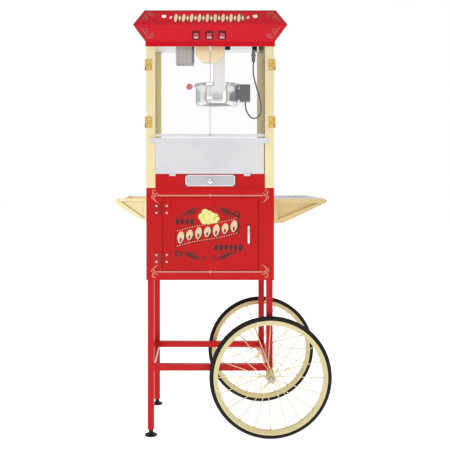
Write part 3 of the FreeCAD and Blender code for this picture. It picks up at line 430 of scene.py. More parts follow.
for lift in (ribbon_foot, ribbon_top):
    ink_stroke(dark_art, [slant(ribbon_left + (ribbon_right - ribbon_left) * t / 8, lift)
                          + (0.0009,) for t in range(9)], on_cart_front)
for u in (ribbon_left, ribbon_right):
    foot, top = slant(u, ribbon_foot), slant(u, ribbon_top)
    ink_stroke(dark_art, [(foot[0], foot[1], 0.0014), (u, (foot[1] + top[1]) / 2, 0.0018),
                          (top[0], top[1], 0.0014)], on_cart_front)


def kernel(u, v, wide, high, lean=0.0):
    """A corn kernel's outline: round at the top, pinched at the foot."""
    outline = []
    for step in range(18):
        angle = math.tau * step / 18
        pinch = 1 - 0.34 * max(0.0, -math.sin(angle)) ** 1.5
        x, z = wide * pinch * math.cos(angle), high * math.sin(angle)
        outline.append((u + x + lean * z, v + z))
    return outline


# dark kernels beside the ribbon; on it, each has a black shadow, a cream body and a red nick
cream_art = bmesh.new()
nick_art = bmesh.new()
for base_u, base_v, count in ((-0.119, 0.779, 4), (0.022, 0.685, 6)):
    for i in range(count):
        ink_patch(dark_art, kernel(base_u + i * 0.0178, base_v, 0.0066, 0.0125), on_cart_front)
for i in range(7):
    u, v = slant(-0.107 + i * 0.0322, 0.024)
    tall = 0.0235 if i % 2 == 0 else 0.0205
    ink_patch(dark_art, kernel(u + 0.0032, v - 0.0028, 0.0134, tall, 0.12), on_cart_front)
    ink_patch(cream_art, kernel(u, v, 0.0124, tall - 0.0012, 0.12), on_cart_front, 0.0002, 0.0004)
    ink_patch(nick_art, kernel(u - 0.0005, v - tall * 0.38, 0.0042, tall * 0.36, 0.12),
              on_cart_front, 0.0004, 0.00055)
# beads along the ribbon's edges
for lift in (-0.0035, 0.0515):
    for i in range(25):
        u, v = slant(ribbon_left + 0.008 + i * 0.0089, lift)
        ink_patch(cream_art, lozenge(u, v, 0.0021, 0.0021), on_cart_front)
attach(from_shape("door_scrolls", dark_art, ink_black, smooth=False), "cart_door")
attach(from_shape("door_kernels", cream_art, ink_cream, smooth=False), "cart_door")
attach(from_shape("door_kernel_nicks", nick_art, ink_red, smooth=False), "cart_door")

# the popped cluster: lobes in pale yellow, each with a darker rim, laid one over another
puff_ink = finish_coat("yellow_screen_ink", "F7EFA8", "EAD96C", 9.0, 0.42, 0.005)
puff_edge = finish_coat("ochre_screen_ink", "A08A3A", "86702A", 3.0, 0.42, 0.005)
cluster, cluster_edge = bmesh.new(), bmesh.new()
lobes = [(-0.030, 0.797, 0.013), (-0.018, 0.812, 0.013), (-0.003, 0.807, 0.012),
         (-0.021, 0.784, 0.014), (-0.005, 0.780, 0.011), (0.009, 0.785, 0.012),
         (0.018, 0.797, 0.012), (0.007, 0.801, 0.012), (0.020, 0.783, 0.009),
         (-0.012, 0.796, 0.012), (0.026, 0.790, 0.008)]
for order, (u, v, radius) in enumerate(lobes):
    height = 0.0003 + order * 0.00006
    ink_patch(cluster_edge, disc(u, v, radius + 0.0009, 20), on_cart_front, 0, height)
    ink_patch(cluster, disc(u, v, radius, 20), on_cart_front, 0, height + 0.00003)
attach(from_shape("door_popped_cluster", cluster, puff_ink, smooth=False), "cart_door")
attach(from_shape("door_popped_cluster_edges", cluster_edge, puff_edge, smooth=False), "cart_door")

# ---- Cart door handle and hinges ----------------------------------------------------------------
# The handle is one bent steel rod, polished and plated. The hinges are painted with the cart and
# held by pan-head screws with a single slot.
chrome = finish_coat("polished_chrome_plate", "EDEDEF", "DCDCDE", 1.0, 0.1, 0.002, spread=0.04,
                     Metallic=1.0)


def swept_rod(path, radius, sides=14):
    """A round rod along a line of points, closed at both ends."""
    shape = bmesh.new()
    rings = []
    normal = None
    for i, point in enumerate(path):
        along = (path[min(i + 1, len(path) - 1)] - path[max(i - 1, 0)]).normalized()
        if normal is None:
            normal = along.orthogonal().normalized()
        normal = (normal - along * normal.dot(along)).normalized()
        across = along.cross(normal)
        rings.append([shape.verts.new(point + radius * (math.cos(math.tau * k / sides) * normal
                                                        + math.sin(math.tau * k / sides) * across))
                      for k in range(sides)])
    for first, second in zip(rings, rings[1:]):
        for k in range(sides):
            shape.faces.new((first[k], first[(k + 1) % sides], second[(k + 1) % sides], second[k]))
    shape.faces.new(rings[0][::-1])
    shape.faces.new(rings[-1])
    return shape


pull_low, pull_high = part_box("cart_door_handle")
pull_x = (pull_low.x + pull_high.x) / 2
rod_radius = (pull_high.x - pull_low.x) / 2
bend = 0.012
grip_y = pull_low.y + rod_radius
pull_path = [Vector((pull_x, pull_high.y, pull_low.z + rod_radius))]
for corner_z, step in ((pull_low.z + rod_radius + bend, -1), (pull_high.z - rod_radius - bend, 1)):
    for i in range(9):
        angle = math.radians(90 * i / 8) if step < 0 else math.radians(90 - 90 * i / 8)
        pull_path.append(Vector((pull_x, grip_y + bend * (1 - math.sin(angle)),
                                 corner_z + step * bend * math.cos(angle))))
pull_path.append(Vector((pull_x, pull_high.y, pull_high.z - rod_radius)))
door_pull = from_shape("door_bow_handle", swept_rod(pull_path, rod_radius), chrome)
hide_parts("cart_door_handle")
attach(door_pull, "cart_door")

screw_steel = finish_coat("nickel_plated_screw", "E9E2DA", "CFC8BF", 0.5, 0.25, 0.01, Metallic=0.7)
slot_shadow = finish_coat("screw_slot_shadow", "3A3733", "282522", 0.5, 0.6, 0.01)
screw_tree, given = growing_tree("slotted_screws", Head_Radius="Float", Turn="Vector",
                                 Twist_Seed="Int")
dome = add(screw_tree, "GeometryNodeMeshUVSphere", {"Segments": 14, "Rings": 8,
                                                    "Radius": given["Head Radius"]})
flat_dome = add(screw_tree, "GeometryNodeTransform", {0: dome.outputs[0], "Scale": (1, 1, 0.45)})
dome_coat = add(screw_tree, "GeometryNodeSetMaterial", {0: flat_dome.outputs[0],
                                                        "Material": screw_steel})
slot_size = add(screw_tree, "ShaderNodeVectorMath", {0: (1.5, 0.28, 0.1), 3: given["Head Radius"]},
                operation="SCALE")
slot_bar = add(screw_tree, "GeometryNodeMeshCube", {"Size": slot_size.outputs[0]})
slot_lift = add(screw_tree, "ShaderNodeVectorMath", {0: (0, 0, 0.41), 3: given["Head Radius"]},
                operation="SCALE")
slot_up = add(screw_tree, "GeometryNodeTransform", {0: slot_bar.outputs[0],
                                                    "Translation": slot_lift.outputs[0]})
slot_coat = add(screw_tree, "GeometryNodeSetMaterial", {0: slot_up.outputs[0],
                                                        "Material": slot_shadow})
head = add(screw_tree, "GeometryNodeJoinGeometry")
screw_tree.links.new(dome_coat.outputs[0], head.inputs[0])
screw_tree.links.new(slot_coat.outputs[0], head.inputs[0])
twist = add(screw_tree, "FunctionNodeRandomValue", {"Seed": given["Twist Seed"]})
twist_turn = add(screw_tree, "ShaderNodeCombineXYZ")
twist_angle = add(screw_tree, "ShaderNodeMath", {0: twist.outputs[1], 1: 3.1}, operation="MULTIPLY")
screw_tree.links.new(twist_angle.outputs[0], twist_turn.inputs[2])
facing = add(screw_tree, "FunctionNodeEulerToRotation", {0: given["Turn"]})
spun = add(screw_tree, "FunctionNodeEulerToRotation", {0: twist_turn.outputs[0]})
both = add(screw_tree, "FunctionNodeRotateRotation", {0: facing.outputs[0], 1: spun.outputs[0]},
           rotation_space="LOCAL")
driven = add(screw_tree, "GeometryNodeInstanceOnPoints", {"Points": given["Geometry"],
             "Instance": head.outputs[0], "Rotation": both.outputs[0]})
end_tree(screw_tree, driven.outputs[0])


def screws(name, seats, radius, turn, body, seed=1):
    """Pan-head screws at the given seats, all facing one way."""
    grown(name, seats, screw_tree, {"Head Radius": radius, "Turn": turn, "Twist Seed": seed}, body)


TO_FRONT, TO_BACK = (math.radians(90), 0, 0), (math.radians(-90), 0, 0)
hinge_low, hinge_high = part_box("cart_door_hinges")
knuckle_x = hinge_low.x + 0.0025
rows = [hinge_high.z - 0.0075, hinge_high.z - 0.0325, hinge_low.z + 0.0325, hinge_low.z + 0.0075]
screws("cart_hinge_frame_screws", [(knuckle_x - 0.022, front_y - 0.0013, z) for z in rows],
       0.0042, TO_FRONT, "root", 3)
screws("cart_hinge_door_screws", [(knuckle_x + 0.0155, front_y - 0.0013, z) for z in rows],
       0.0042, TO_FRONT, "cart_door", 4)
dress(red_powder, "cart_door_hinges")

# The fixed hinge halves on the popper are brass enamelled, and those on the cart are red. Both
# come from one press, so one enamel changes its pigment between the two heights.
hinge_enamel = finish_coat("two_tone_hinge_enamel", "E8C06A", "D9AD52", 1.4, 0.32, 0.015,
                           Metallic=0.3, Coat_Weight=0.2)


def change_where(material, axis, side, limit, hexcode):
    """Turn a material's colour to another on one side of a limit along an axis of the frame."""
    tree = material.node_tree
    shader = tree.nodes["Principled BSDF"]
    own = shader.inputs["Base Color"].links[0].from_socket
    place = add(tree, "ShaderNodeTexCoord").outputs["Object"]
    spot = add(tree, "ShaderNodeSeparateXYZ", {0: place})
    past = add(tree, "ShaderNodeMath", {0: spot.outputs[axis], 1: limit}, operation=side)
    mixed = add(tree, "ShaderNodeMix", {0: past.outputs[0], 6: own, 7: to_linear(hexcode)},
                data_type="RGBA")
    tree.links.new(mixed.outputs[2], shader.inputs["Base Color"])


change_where(hinge_enamel, 2, "LESS_THAN", 0.95, "AE0A10")
dress(hinge_enamel, "hinge_frame_leaves")
# painted shade: dark strips on the cart's front at each hinge's knuckle, where the gap between door
# and frame falls into shade
hinge_gap_shade = bmesh.new()
for low, high in ((0.8065, 0.8428), (0.6270, 0.6671)):
    ink_patch(hinge_gap_shade, oblong(-0.177, low, -0.1735, high),
              lambda u, v, out: (middle_x + u, hinge_low.y - out, v))
pin_shade = finish_coat("hinge_pin_in_shade", "5E0A0E", "4A070A", 1.0, 0.6, 0.01)
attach(from_shape("cart_hinge_pin_painted_shade", hinge_gap_shade, pin_shade, smooth=False), "root")

# ---- Push handle and side shelf -----------------------------------------------------------------
# Pressed steel brackets in pale brass-coloured enamel, satin, with fine specks of pigment. They
# carry a steel push rod on the left and a stainless shelf on the right.
brass_enamel = finish_coat("brass_coloured_enamel", "FFF2C6", "F8E3AE", 1.2, 0.36, 0.015,
                           Metallic=0.75, Coat_Weight=0.1, Coat_Roughness=0.2)
bracket_enamel = finish_coat("bracket_gold_enamel", "E8CF9A", "D3B67C", 1.2, 0.34, 0.015,
                             Metallic=0.6, Coat_Weight=0.15, Coat_Roughness=0.2)
dress(bracket_enamel, "push_rod", "shelf_brackets", "axle_brackets")
dress(brass_enamel, "handle_brackets")
brushed_sheet = finish_coat("brushed_stainless_sheet", "DCDCE0", "C8C8CE", 0.5, 0.34, 0.01,
                            stretch=(0.03, 1, 1), Metallic=0.75)
dress(brushed_sheet, "side_shelf")
plate_low, plate_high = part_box("shelf_brackets")
for name, y, turn in (("front", plate_low.y, TO_FRONT), ("back", plate_high.y, TO_BACK)):
    screws(f"shelf_{name}_screws", [(middle_x + x, y, plate_high.z - 0.0075)
                                    for x in (0.249, 0.321, 0.393)], 0.0034, turn, "root", 6)
grip_low, grip_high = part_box("handle_brackets")
for name, y, turn in (("front", grip_low.y, TO_FRONT), ("back", grip_high.y, TO_BACK)):
    screws(f"handle_{name}_screws", [(middle_x - 0.2385, y, z) for z in (0.795, 0.851)]
           + [(middle_x - 0.332, y, 0.8565)], 0.003, turn, "root", 8)

# painted shade in the corner round each pressed triangle of the handle's brackets: a brown line
# where the recess walls fall into shade
recess_painted_shade = finish_coat("painted_shade_in_pressed_corner", "8A7C50", "6E6038", 1.2, 0.45, 0.005)
PRESSED_DEPTH = 0.013
tip, heel, foot = (-0.324, 0.852, 0.0014), (-0.242, 0.852, 0.0014), (-0.242, 0.793, 0.0014)
corners = bmesh.new()
for run in ((tip, heel), (heel, foot), (foot, tip)):
    ink_stroke(corners, run,
               lambda u, v, out: (middle_x + u, grip_low.y + PRESSED_DEPTH - out, v))
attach(from_shape("handle_recess_painted_shade", corners, recess_painted_shade, smooth=False), "root")

# ---- Kernel drawer and serving panel ------------------------------------------------------------
# Brushed stainless sheet; the belt leaves fine lines along it. The panel hangs on two steel clips
# and the drawer has a round chrome knob.
panel_sheet = finish_coat("brushed_stainless_panel", "E2E2E5", "D4D4D8", 0.7, 0.42, 0.01,
                          stretch=(0.02, 1, 1), Metallic=0.5)
dress(panel_sheet, "serving_panel", "panel_clips", "popcorn_deck")
drawer_sheet = finish_coat("brushed_stainless_drawer", "CFCFD3", "BFBFC4", 0.7, 0.4, 0.01,
                           stretch=(0.02, 1, 1), Metallic=0.5)
dress(drawer_sheet, "kernel_drawer")
dress(chrome, "drawer_knob")
drawer_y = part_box("drawer_knob")[1].y


def on_drawer(u, v, out):
    """A point on the drawer's face."""
    return (middle_x + u, drawer_y - out, v)


# painted highlight: a bright line round the drawer face where its pressed edge catches the light
CORNER_RADIUS, HALF_RIM = 0.006, 0.0015
outline = []
for cx, cz, start in ((0.082, 0.9415, 0), (-0.082, 0.9415, 90), (-0.082, 0.9155, 180),
                      (0.082, 0.9155, 270)):
    for i in range(5):
        angle = math.radians(start + 90 * i / 4)
        outline.append((cx + CORNER_RADIUS * math.cos(angle),
                        cz + CORNER_RADIUS * math.sin(angle), HALF_RIM))
outline.append(outline[0])
highlight_art = bmesh.new()
ink_stroke(highlight_art, outline, on_drawer)
drawer_edge_painted_highlight = finish_coat("painted_highlight_on_pressed_edge", "FCFCFC", "F0F0F2", 1.0, 0.2, 0.005, Metallic=0.6)
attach(from_shape("drawer_face_painted_highlight", highlight_art, drawer_edge_painted_highlight, smooth=False), "drawer")

# ---- Posts, panes and doors ---------------------------------------------------------------------
# Brass-enamelled corner angles hold clear cast acrylic, which is all but invisible from the front
# and bright along its cut edges. The doors hang on brass hinges with two screws to a leaf.
# The back pair, behind the panes, is coloured a deeper gold as painted shade.
post_enamel_with_painted_back_shade = brass_enamel.copy()
post_enamel_with_painted_back_shade.name = "brass_post_enamel_painted_shade_at_back"
change_where(post_enamel_with_painted_back_shade, 1, "GREATER_THAN", 0.0, "E3C870")
dress(post_enamel_with_painted_back_shade, "popper_posts")

# Each stile carries its hinge leaves, which are bare lacquered brass, deeper in colour. They lie
# in front of the stile's face and outside its edge, so the brass starts there.
stile_coat = finish_coat("stile_enamel_and_hinge_brass", "FFF2C6", "F8E3AE", 1.2, 0.34, 0.015,
                         Metallic=0.75, Coat_Weight=0.1, Coat_Roughness=0.2)
LEAF_BRASS, LEAF_EDGE, LEAF_FRONT = "E3B95E", 0.2318, -0.2061
change_where(stile_coat, 0, "LESS_THAN", middle_x - LEAF_EDGE, LEAF_BRASS)
change_where(stile_coat, 0, "GREATER_THAN", middle_x + LEAF_EDGE, LEAF_BRASS)
change_where(stile_coat, 1, "LESS_THAN", LEAF_FRONT, LEAF_BRASS)
dress(stile_coat, "left_door_stile", "right_door_stile")
dress(panel_sheet, "door_sill")
acrylic = finish_coat("clear_cast_acrylic", "FBFDFD", "F4F8F8", 60, 0.05, 0.002, spread=0.02,
                      Alpha=0.06, IOR=1.49)
acrylic.blend_method = "BLEND"
dress(acrylic, "fixed_windows", "left_door_glass", "right_door_glass")
KNUCKLE_U, KNUCKLE_FRONT = 0.2345, -0.2074
# painted shadow: a small dark-brown strip in front of each door hinge's knuckle, where the gap
# beside the barrel falls into shade
knuckle_shadow_paint = finish_coat("painted_knuckle_shadow", "7A5526", "5C3E1A", 1.0, 0.6, 0.01)
for side, body in ((-1, "left_door"), (1, "right_door")):
    leaf_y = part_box(f"{body}_stile")[0].y - 0.0002
    screws(f"{body}_hinge_screws", [(middle_x + side * 0.2205, leaf_y, z)
                                    for z in (1.336, 1.360, 1.128, 1.152)],
           0.0034, TO_FRONT, body, 11 + side)
    knuckle_shade_art = bmesh.new()
    for z in (1.3285, 1.1205):
        ink_patch(knuckle_shade_art, oblong(side * KNUCKLE_U - 0.0017, z,
                                   side * KNUCKLE_U + 0.0017, z + 0.013),
                  lambda u, v, out: (middle_x + u, KNUCKLE_FRONT - out, v))
    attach(from_shape(f"{body}_knuckle_painted_shade", knuckle_shade_art, knuckle_shadow_paint, smooth=False), body)
edge_line = finish_coat("acrylic_cut_edge", "B4BAB9", "A2A9A8", 2.0, 0.2, 0.002, Alpha=0.6)
for body, inner in (("left_door", -0.0021), ("right_door", 0.0009)):
    pane_low, pane_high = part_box(f"{body}_glass")
    strip = bmesh.new()
    bmesh.ops.create_cube(strip, size=1, matrix=Matrix.LocRotScale(
        Vector((middle_x + inner + 0.0006, (pane_low.y + pane_high.y) / 2,
                (pane_low.z + pane_high.z) / 2)), None,
        Vector((0.0012, pane_high.y - pane_low.y + 0.0004, pane_high.z - pane_low.z))))
    bmesh.ops.bevel(strip, geom=strip.edges, offset=0.0003, segments=2, affect="EDGES")
    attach(from_shape(f"{body}_cut_edge", strip, edge_line), body)

# ---- Roof sign ----------------------------------------------------------------------------------
# Folded sheet steel in a brighter red enamel, with a dark line round its hem. Kernels and popped
# corn are printed along the upper slope, with a dull gold scroll at each of the four ends.
sign_enamel = finish_coat("bright_red_sign_enamel", "C90C22", "BE0A1D", 2.0, 0.28, 0.02,
                          Coat_Weight=0.05, Coat_Roughness=0.1, Specular_IOR_Level=0.14)
dress(sign_enamel, "roof_sign", "roof_cover")
sign_low, sign_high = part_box("roof_sign")
tip_z, brow_z = sign_high.z - 0.059, sign_low.z + 0.018
tip_y, SLOPE_RUN = sign_low.y, 0.034


def on_upper_slope(u, v, out):
    """A point on the sign's upper slope."""
    share = (v - tip_z) / (sign_high.z - tip_z)
    return (middle_x + u, tip_y + share * SLOPE_RUN - out * 0.866, v + out * 0.5)


def on_lower_slope(u, v, out):
    """A point on the sign's lower slope."""
    share = (tip_z - v) / (tip_z - brow_z)
    return (middle_x + u, tip_y + share * SLOPE_RUN - out * 0.846, v - out * 0.533)


sign_gold = finish_coat("sign_gold_ink", "A9604F", "8C4A3E", 2.2, 0.4, 0.005)
CORNER = (((0, 0, 0.6), (-8, 4, 1.8), (-16, 2, 2.0), (-24, -3, 1.4), (-31, -4, 0.4)),
          ((-8, -1, 0.5), (-13, -6, 1.5), (-20, -8, 1.4), (-24, -12, 1.0), (-19, -14, 0.5)),
          ((0, 0, 0.6), (3, -8, 2.0), (8, -16, 2.1), (14, -24, 1.4), (20, -32, 0.4)),
          ((1, -9, 0.5), (-4, -16, 1.6), (-2, -23, 1.4), (4, -26, 1.0), (5, -22, 0.5)))
flourish = bmesh.new()
for side in (-1, 1):
    scroll(flourish, CORNER, side * 0.231, 1.532, side, 1, on_upper_slope)
    scroll(flourish, CORNER, side * 0.230, 1.449, side, -1, on_lower_slope)
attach(from_shape("sign_scrolls", flourish, sign_gold, smooth=False), "root")

sign_shadow = finish_coat("sign_maroon_ink", "7A141E", "650F18", 2.2, 0.4, 0.005)
SHADE = 0.0012
shadow_art, kernel_art, white_art = bmesh.new(), bmesh.new(), bmesh.new()
for i in range(18):
    u, v = -0.124 + i * 0.0142, 1.514
    if i % 2:
        grain = lozenge(u, v, 0.0054, 0.0115)
        shadow = lozenge(u + SHADE, v - SHADE, 0.0074, 0.0135)
    else:
        grain = kernel(u, v, 0.0062, 0.0165, 0.1)
        shadow = kernel(u + SHADE, v - SHADE, 0.0078, 0.0181, 0.1)
    ink_patch(shadow_art, shadow, on_upper_slope)
    ink_patch(kernel_art, grain, on_upper_slope, 0.0002, 0.0004)
for side_u in (-0.142, 0.136):
    ink_patch(kernel_art, kernel(side_u, 1.516, 0.0048, 0.0062, 0.3), on_upper_slope)
for order, (u, v, radius) in enumerate([(-0.0045, 0.002, 0.004), (0.0035, 0.0028, 0.0042),
                                        (0.0, -0.003, 0.0046), (-0.005, -0.002, 0.0028),
                                        (0.006, -0.002, 0.003)]):
    for middle_u in (-0.167, 0.162):
        ink_patch(white_art, disc(middle_u + u, 1.521 + v, radius, 16), on_upper_slope,
                  0, 0.0003 + order * 0.0001)
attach(from_shape("sign_kernel_shadows", shadow_art, sign_shadow, smooth=False), "root")
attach(from_shape("sign_kernels", kernel_art, ink_cream, smooth=False), "root")
popped_white = finish_coat("popped_corn_white_ink", "FBF3EA", "F0DFCF", 3.0, 0.45, 0.01)
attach(from_shape("sign_popped_corn", white_art, popped_white, smooth=False), "root")

# a dark line round the hem
hem = bmesh.new()
for side in (-1, 1):
    ink_stroke(hem, [(side * 0.2365, 1.5440, 0.0014), (side * 0.2735, 1.4885, 0.0014)],
               on_upper_slope)
    ink_stroke(hem, [(side * 0.2735, 1.4855, 0.0014), (side * 0.2335, 1.4345, 0.0014)],
               on_lower_slope)
ink_stroke(hem, [(u, 1.5440, 0.0012) for u in (-0.2365, 0, 0.2365)], on_upper_slope)
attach(from_shape("sign_hem_line", hem, sign_shadow, smooth=False), "root")

# ---- Rocker switches ----------------------------------------------------------------------------
# Three rocker switches: black nylon frames, and rockers in clear red plastic with a paler painted
# highlight towards the foot, where the tilted lower half catches the light.
dress(black_nylon, "switch_bezels")
rocker_plastic_and_highlight = finish_coat("clear_red_rocker_with_painted_highlight", "BE1420", "A80E1A", 4.0, 0.2, 0.01,
                             Coat_Weight=0.5)
# painted highlight: each rocker's lower part is coloured pale pink
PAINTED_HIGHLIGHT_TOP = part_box("light_rocker")[0].z + 0.006
change_where(rocker_plastic_and_highlight, 2, "LESS_THAN", PAINTED_HIGHLIGHT_TOP, "D98C90")
dress(rocker_plastic_and_highlight, "light_rocker", "kettle_rocker", "warmer_rocker")

# ---- Ceiling tray, lamps and socket -------------------------------------------------------------
# The ceiling is a stainless tray. A square steel shade holds the warming lamp, and a folded cream
# acrylic diffuser hides the cabinet lamp.
dress(panel_sheet, "ceiling_tray")
shade_sheet = finish_coat("mill_finish_steel_shade", "D8D5D5", "C2BFBF", 0.8, 0.4, 0.01,
                          stretch=(1, 1, 0.05), Metallic=0.5)
dress(shade_sheet, "heat_lamp_shade")
shade_low, shade_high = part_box("heat_lamp_shade")
# painted shade: a dark grey band down the right of the lamp shade's front, where its right side
# falls into shade
side_shade_art = bmesh.new()
ink_patch(side_shade_art, oblong(shade_high.x - 0.0095, shade_low.z, shade_high.x, shade_high.z),
          lambda u, v, out: (u, shade_low.y - out, v))
shade_side_painted_shade = finish_coat("painted_shade_on_shade_side", "6A6A6E", "4E4E52", 0.8, 0.4, 0.01)
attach(from_shape("lamp_shade_painted_side_shade", side_shade_art, shade_side_painted_shade, smooth=False), "root")
lamp_glass = finish_coat("frosted_lamp_glass", "F6EFE6", "E9DFD2", 2.0, 0.4, 0.01)
dress(lamp_glass, "heat_lamp_bulb")
cream_acrylic = finish_coat("cream_translucent_acrylic", "FBE6B8", "F4DAA4", 3.0, 0.45, 0.02,
                            Subsurface_Weight=0.2)
dress(cream_acrylic, "light_diffuser")
dress(black_nylon, "kettle_socket", "kettle_plug")


def bevelled_block(shape, low, high, edge):
    """A block between two corners with its edges rounded over."""
    low, high = Vector(low), Vector(high)
    made = bmesh.ops.create_cube(shape, size=1, matrix=Matrix.LocRotScale(
        (low + high) / 2, None, high - low))
    edges = {line for corner in made["verts"] for line in corner.link_edges}
    bmesh.ops.bevel(shape, geom=list(edges), offset=edge, segments=2, affect="EDGES")


# a black cable clip beside the hanger and a brown gland for the lamp's wires
under_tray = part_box("kettle_socket")[1].z
clip = bmesh.new()
bevelled_block(clip, (middle_x + 0.060, 0.0, under_tray - 0.020),
               (middle_x + 0.081, 0.014, under_tray), 0.001)
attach(from_shape("ceiling_cable_clip", clip, black_nylon), "root")
gland = bmesh.new()
bmesh.ops.create_cone(gland, cap_ends=True, segments=32, radius1=0.0105, radius2=0.0125,
                      depth=0.032,
                      matrix=Matrix.Translation((middle_x + 0.205, 0.02, under_tray - 0.016)))
rims = [line for line in gland.edges if abs(line.verts[0].co.z - line.verts[1].co.z) < 1e-6]
bmesh.ops.bevel(gland, geom=rims, offset=0.0015, segments=2, affect="EDGES")
phenolic = finish_coat("brown_moulded_phenolic", "6A5233", "4C3A22", 2.0, 0.35, 0.01)
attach(from_shape("ceiling_lamp_gland", gland, phenolic), "root")

# ---- Kettle hangers -----------------------------------------------------------------------------
# Two folded stainless channels from the ceiling; the front one has a small welded gusset where
# the kettle's pin goes in.
hanger_sheet = finish_coat("brushed_stainless_channel", "F3F3F4", "E2E2E5", 0.5, 0.45, 0.01,
                           stretch=(1, 1, 0.03), Metallic=0.35)
dress(hanger_sheet, "kettle_hangers")

# ---- Kettle pan ---------------------------------------------------------------------------------
# Spun from stainless sheet: a round-cornered pan with a rolled rim, polished, with the faint
# rings that the spinning tool leaves about 1.5 mm apart. Two pins carry it.
pan_low, pan_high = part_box("kettle_pan")
pan_x, pan_y = (pan_low.x + pan_high.x) / 2, (pan_low.y + pan_high.y) / 2
spun_steel = finish_coat("polished_spun_stainless", "E6E6E8", "D2D2D6", 1.5, 0.17, 0.004,
                         spread=0.05, stretch=(0.02, 0.02, 1), Metallic=1.0)
profile = [(0.0, 0.0), (0.040, 0.0), (0.060, 0.0006), (0.070, 0.0030), (0.0765, 0.0078),
           (0.0806, 0.0145), (0.0822, 0.0225), (0.0825, 0.0320), (0.0825, 0.0760),
           (0.0836, 0.0782), (0.0858, 0.0790), (0.0868, 0.0802), (0.0870, 0.0820),
           (0.0870, 0.0888), (0.0862, 0.0905), (0.0845, 0.0910), (0.0815, 0.0908),
           (0.0805, 0.0890), (0.0805, 0.0320), (0.0800, 0.0225), (0.0786, 0.0155),
           (0.0750, 0.0094), (0.0695, 0.0052), (0.0600, 0.0027), (0.040, 0.0020), (0.0, 0.0020)]


def turned_on_z(profile, centre, sides=96, shape=None):
    """Turn (radius, height) points about an upright line; poles close to one point."""
    shape = shape or bmesh.new()
    rings = []
    for radius, height in profile:
        if radius == 0:
            rings.append([shape.verts.new(centre + Vector((0, 0, height)))] * sides)
        else:
            rings.append([shape.verts.new(centre + Vector((radius * math.cos(math.tau * k / sides),
                                                           radius * math.sin(math.tau * k / sides),
                                                           height))) for k in range(sides)])
    for first, second in zip(rings, rings[1:]):
        for k in range(sides):
            corners = [first[k], first[(k + 1) % sides], second[(k + 1) % sides], second[k]]
            unique = list(dict.fromkeys(corners))
            if len(unique) > 2:
                shape.faces.new(unique)
    return shape


pan = turned_on_z(profile, Vector((pan_x, pan_y, pan_low.z)))
pin_x, pin_z, pin_r = pan_x + 0.008, pan_low.z + 0.070, 0.005
for side in (-1, 1):
    start_y, end_y = side * 0.0812, side * (pan_high.y - pan_y)
    rings = []
    for y, radius in ((start_y, pin_r), (end_y - side * 0.001, pin_r), (end_y, pin_r - 0.001)):
        rings.append([pan.verts.new((pin_x + radius * math.cos(math.tau * k / 24), pan_y + y,
                                     pin_z + radius * math.sin(math.tau * k / 24)))
                      for k in range(24)])
    for first, second in zip(rings, rings[1:]):
        for k in range(24):
            pan.faces.new((first[k], first[(k + 1) % 24], second[(k + 1) % 24], second[k]))
    pan.faces.new(rings[0])
    pan.faces.new(rings[-1])
spun_pan = from_shape("spun_kettle_pan", pan, spun_steel)
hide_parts("kettle_pan")
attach(spun_pan, "kettle")

# ---- Lids, crossbar, stirrer and dump lever -----------------------------------------------------
# Stainless sheet and bar, brushed. The lever's ball is red phenolic, polished on a wheel.
lid_sheet = finish_coat("brushed_stainless_lid", "CDCDD1", "B6B6BB", 0.5, 0.3, 0.01,
                        stretch=(1, 0.03, 1), Metallic=0.85)
dress(lid_sheet, "kettle_lid_left", "kettle_lid_right", "lid_crossbar", "stirrer", "dump_lever")
red_phenolic = finish_coat("red_phenolic_ball", "F0303E", "E02433", 3.0, 0.15, 0.005,
                           Coat_Weight=0.5)
dress(red_phenolic, "dump_knob")

# ---- Terminal box -------------------------------------------------------------------------------
# A black enamelled steel cover with pressed ribs, bolted to the kettle's side, where the heater
# and thermostat leads come out.
box_enamel = finish_coat("black_enamelled_cover", "17171A", "0D0D10", 1.5, 0.35, 0.02,
                         Specular_IOR_Level=0.3)
dress(box_enamel, "terminal_box")
cover_low, cover_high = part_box("terminal_box")
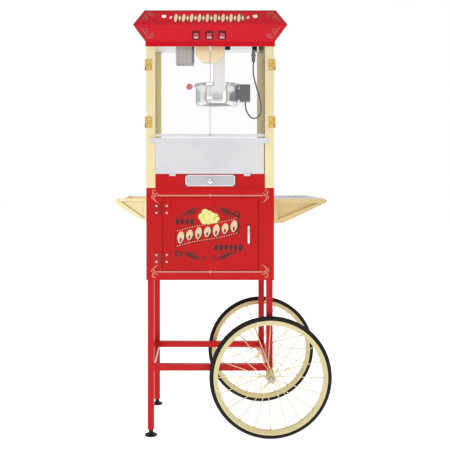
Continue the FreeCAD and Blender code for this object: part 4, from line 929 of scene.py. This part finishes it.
# the pressed ribs are coloured a lighter grey than the cover
rib_enamel_lighter_grey = finish_coat("lighter_grey_rib_enamel", "48484D", "333338", 1.5, 0.35, 0.02)
ribs = bmesh.new()
for i in range(4):
    rib_x = cover_high.x - 0.0052 - i * 0.0088
    bevelled_block(ribs, (rib_x - 0.0014, cover_low.y - 0.0016, cover_low.z + 0.004),
                   (rib_x + 0.0014, cover_high.y + 0.0016, cover_high.z - 0.004), 0.0006)
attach(from_shape("terminal_box_ribs", ribs, rib_enamel_lighter_grey), "kettle")
lip = bmesh.new()
bevelled_block(lip, (cover_high.x - 0.046, cover_low.y - 0.001, cover_high.z),
               (cover_high.x + 0.001, cover_high.y + 0.001, cover_high.z + 0.0018), 0.0005)
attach(from_shape("terminal_box_lip", lip, lid_sheet), "kettle")

# ---- Kettle lead --------------------------------------------------------------------------------
# A rubber-sheathed lead, 6 mm thick, with a fine matt skin. It hangs in a loop from the ceiling
# plug to the terminal box.
rubber_sheath = finish_coat("black_rubber_sheath", "101012", "08080A", 1.0, 0.5, 0.03,
                            Specular_IOR_Level=0.3)
lead_route = [(171, 0, 1390), (169, -1, 1362), (171, -3, 1334), (178, -6, 1305), (187, -9, 1276),
              (195, -10, 1246), (200, -9, 1215), (199, -7, 1186), (185, -5, 1170),
              (163, -3, 1170), (149, -2, 1187), (139, 0, 1211), (139, 0, 1235)]
route = bpy.data.curves.new("kettle_lead_route", "CURVE")
route.dimensions = "3D"
spline = route.splines.new("NURBS")
spline.points.add(len(lead_route) - 1)
for point, (x, y, z) in zip(spline.points, lead_route):
    point.co = (middle_x + x / 1000, y / 1000, z / 1000, 1)
spline.order_u = 3
spline.use_endpoint_u = True
spline.resolution_u = 8
route_object = bpy.data.objects.new("kettle_lead_route", route)
bpy.context.scene.collection.objects.link(route_object)
route_line = bpy.data.meshes.new_from_object(
    route_object.evaluated_get(bpy.context.evaluated_depsgraph_get()))
lead_points = [vertex.co.copy() for vertex in route_line.vertices]
bpy.data.objects.remove(route_object)
lead = from_shape("kettle_lead_sheath", swept_rod(lead_points, 0.003, 12), rubber_sheath)
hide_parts("kettle_lead")
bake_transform(lead)
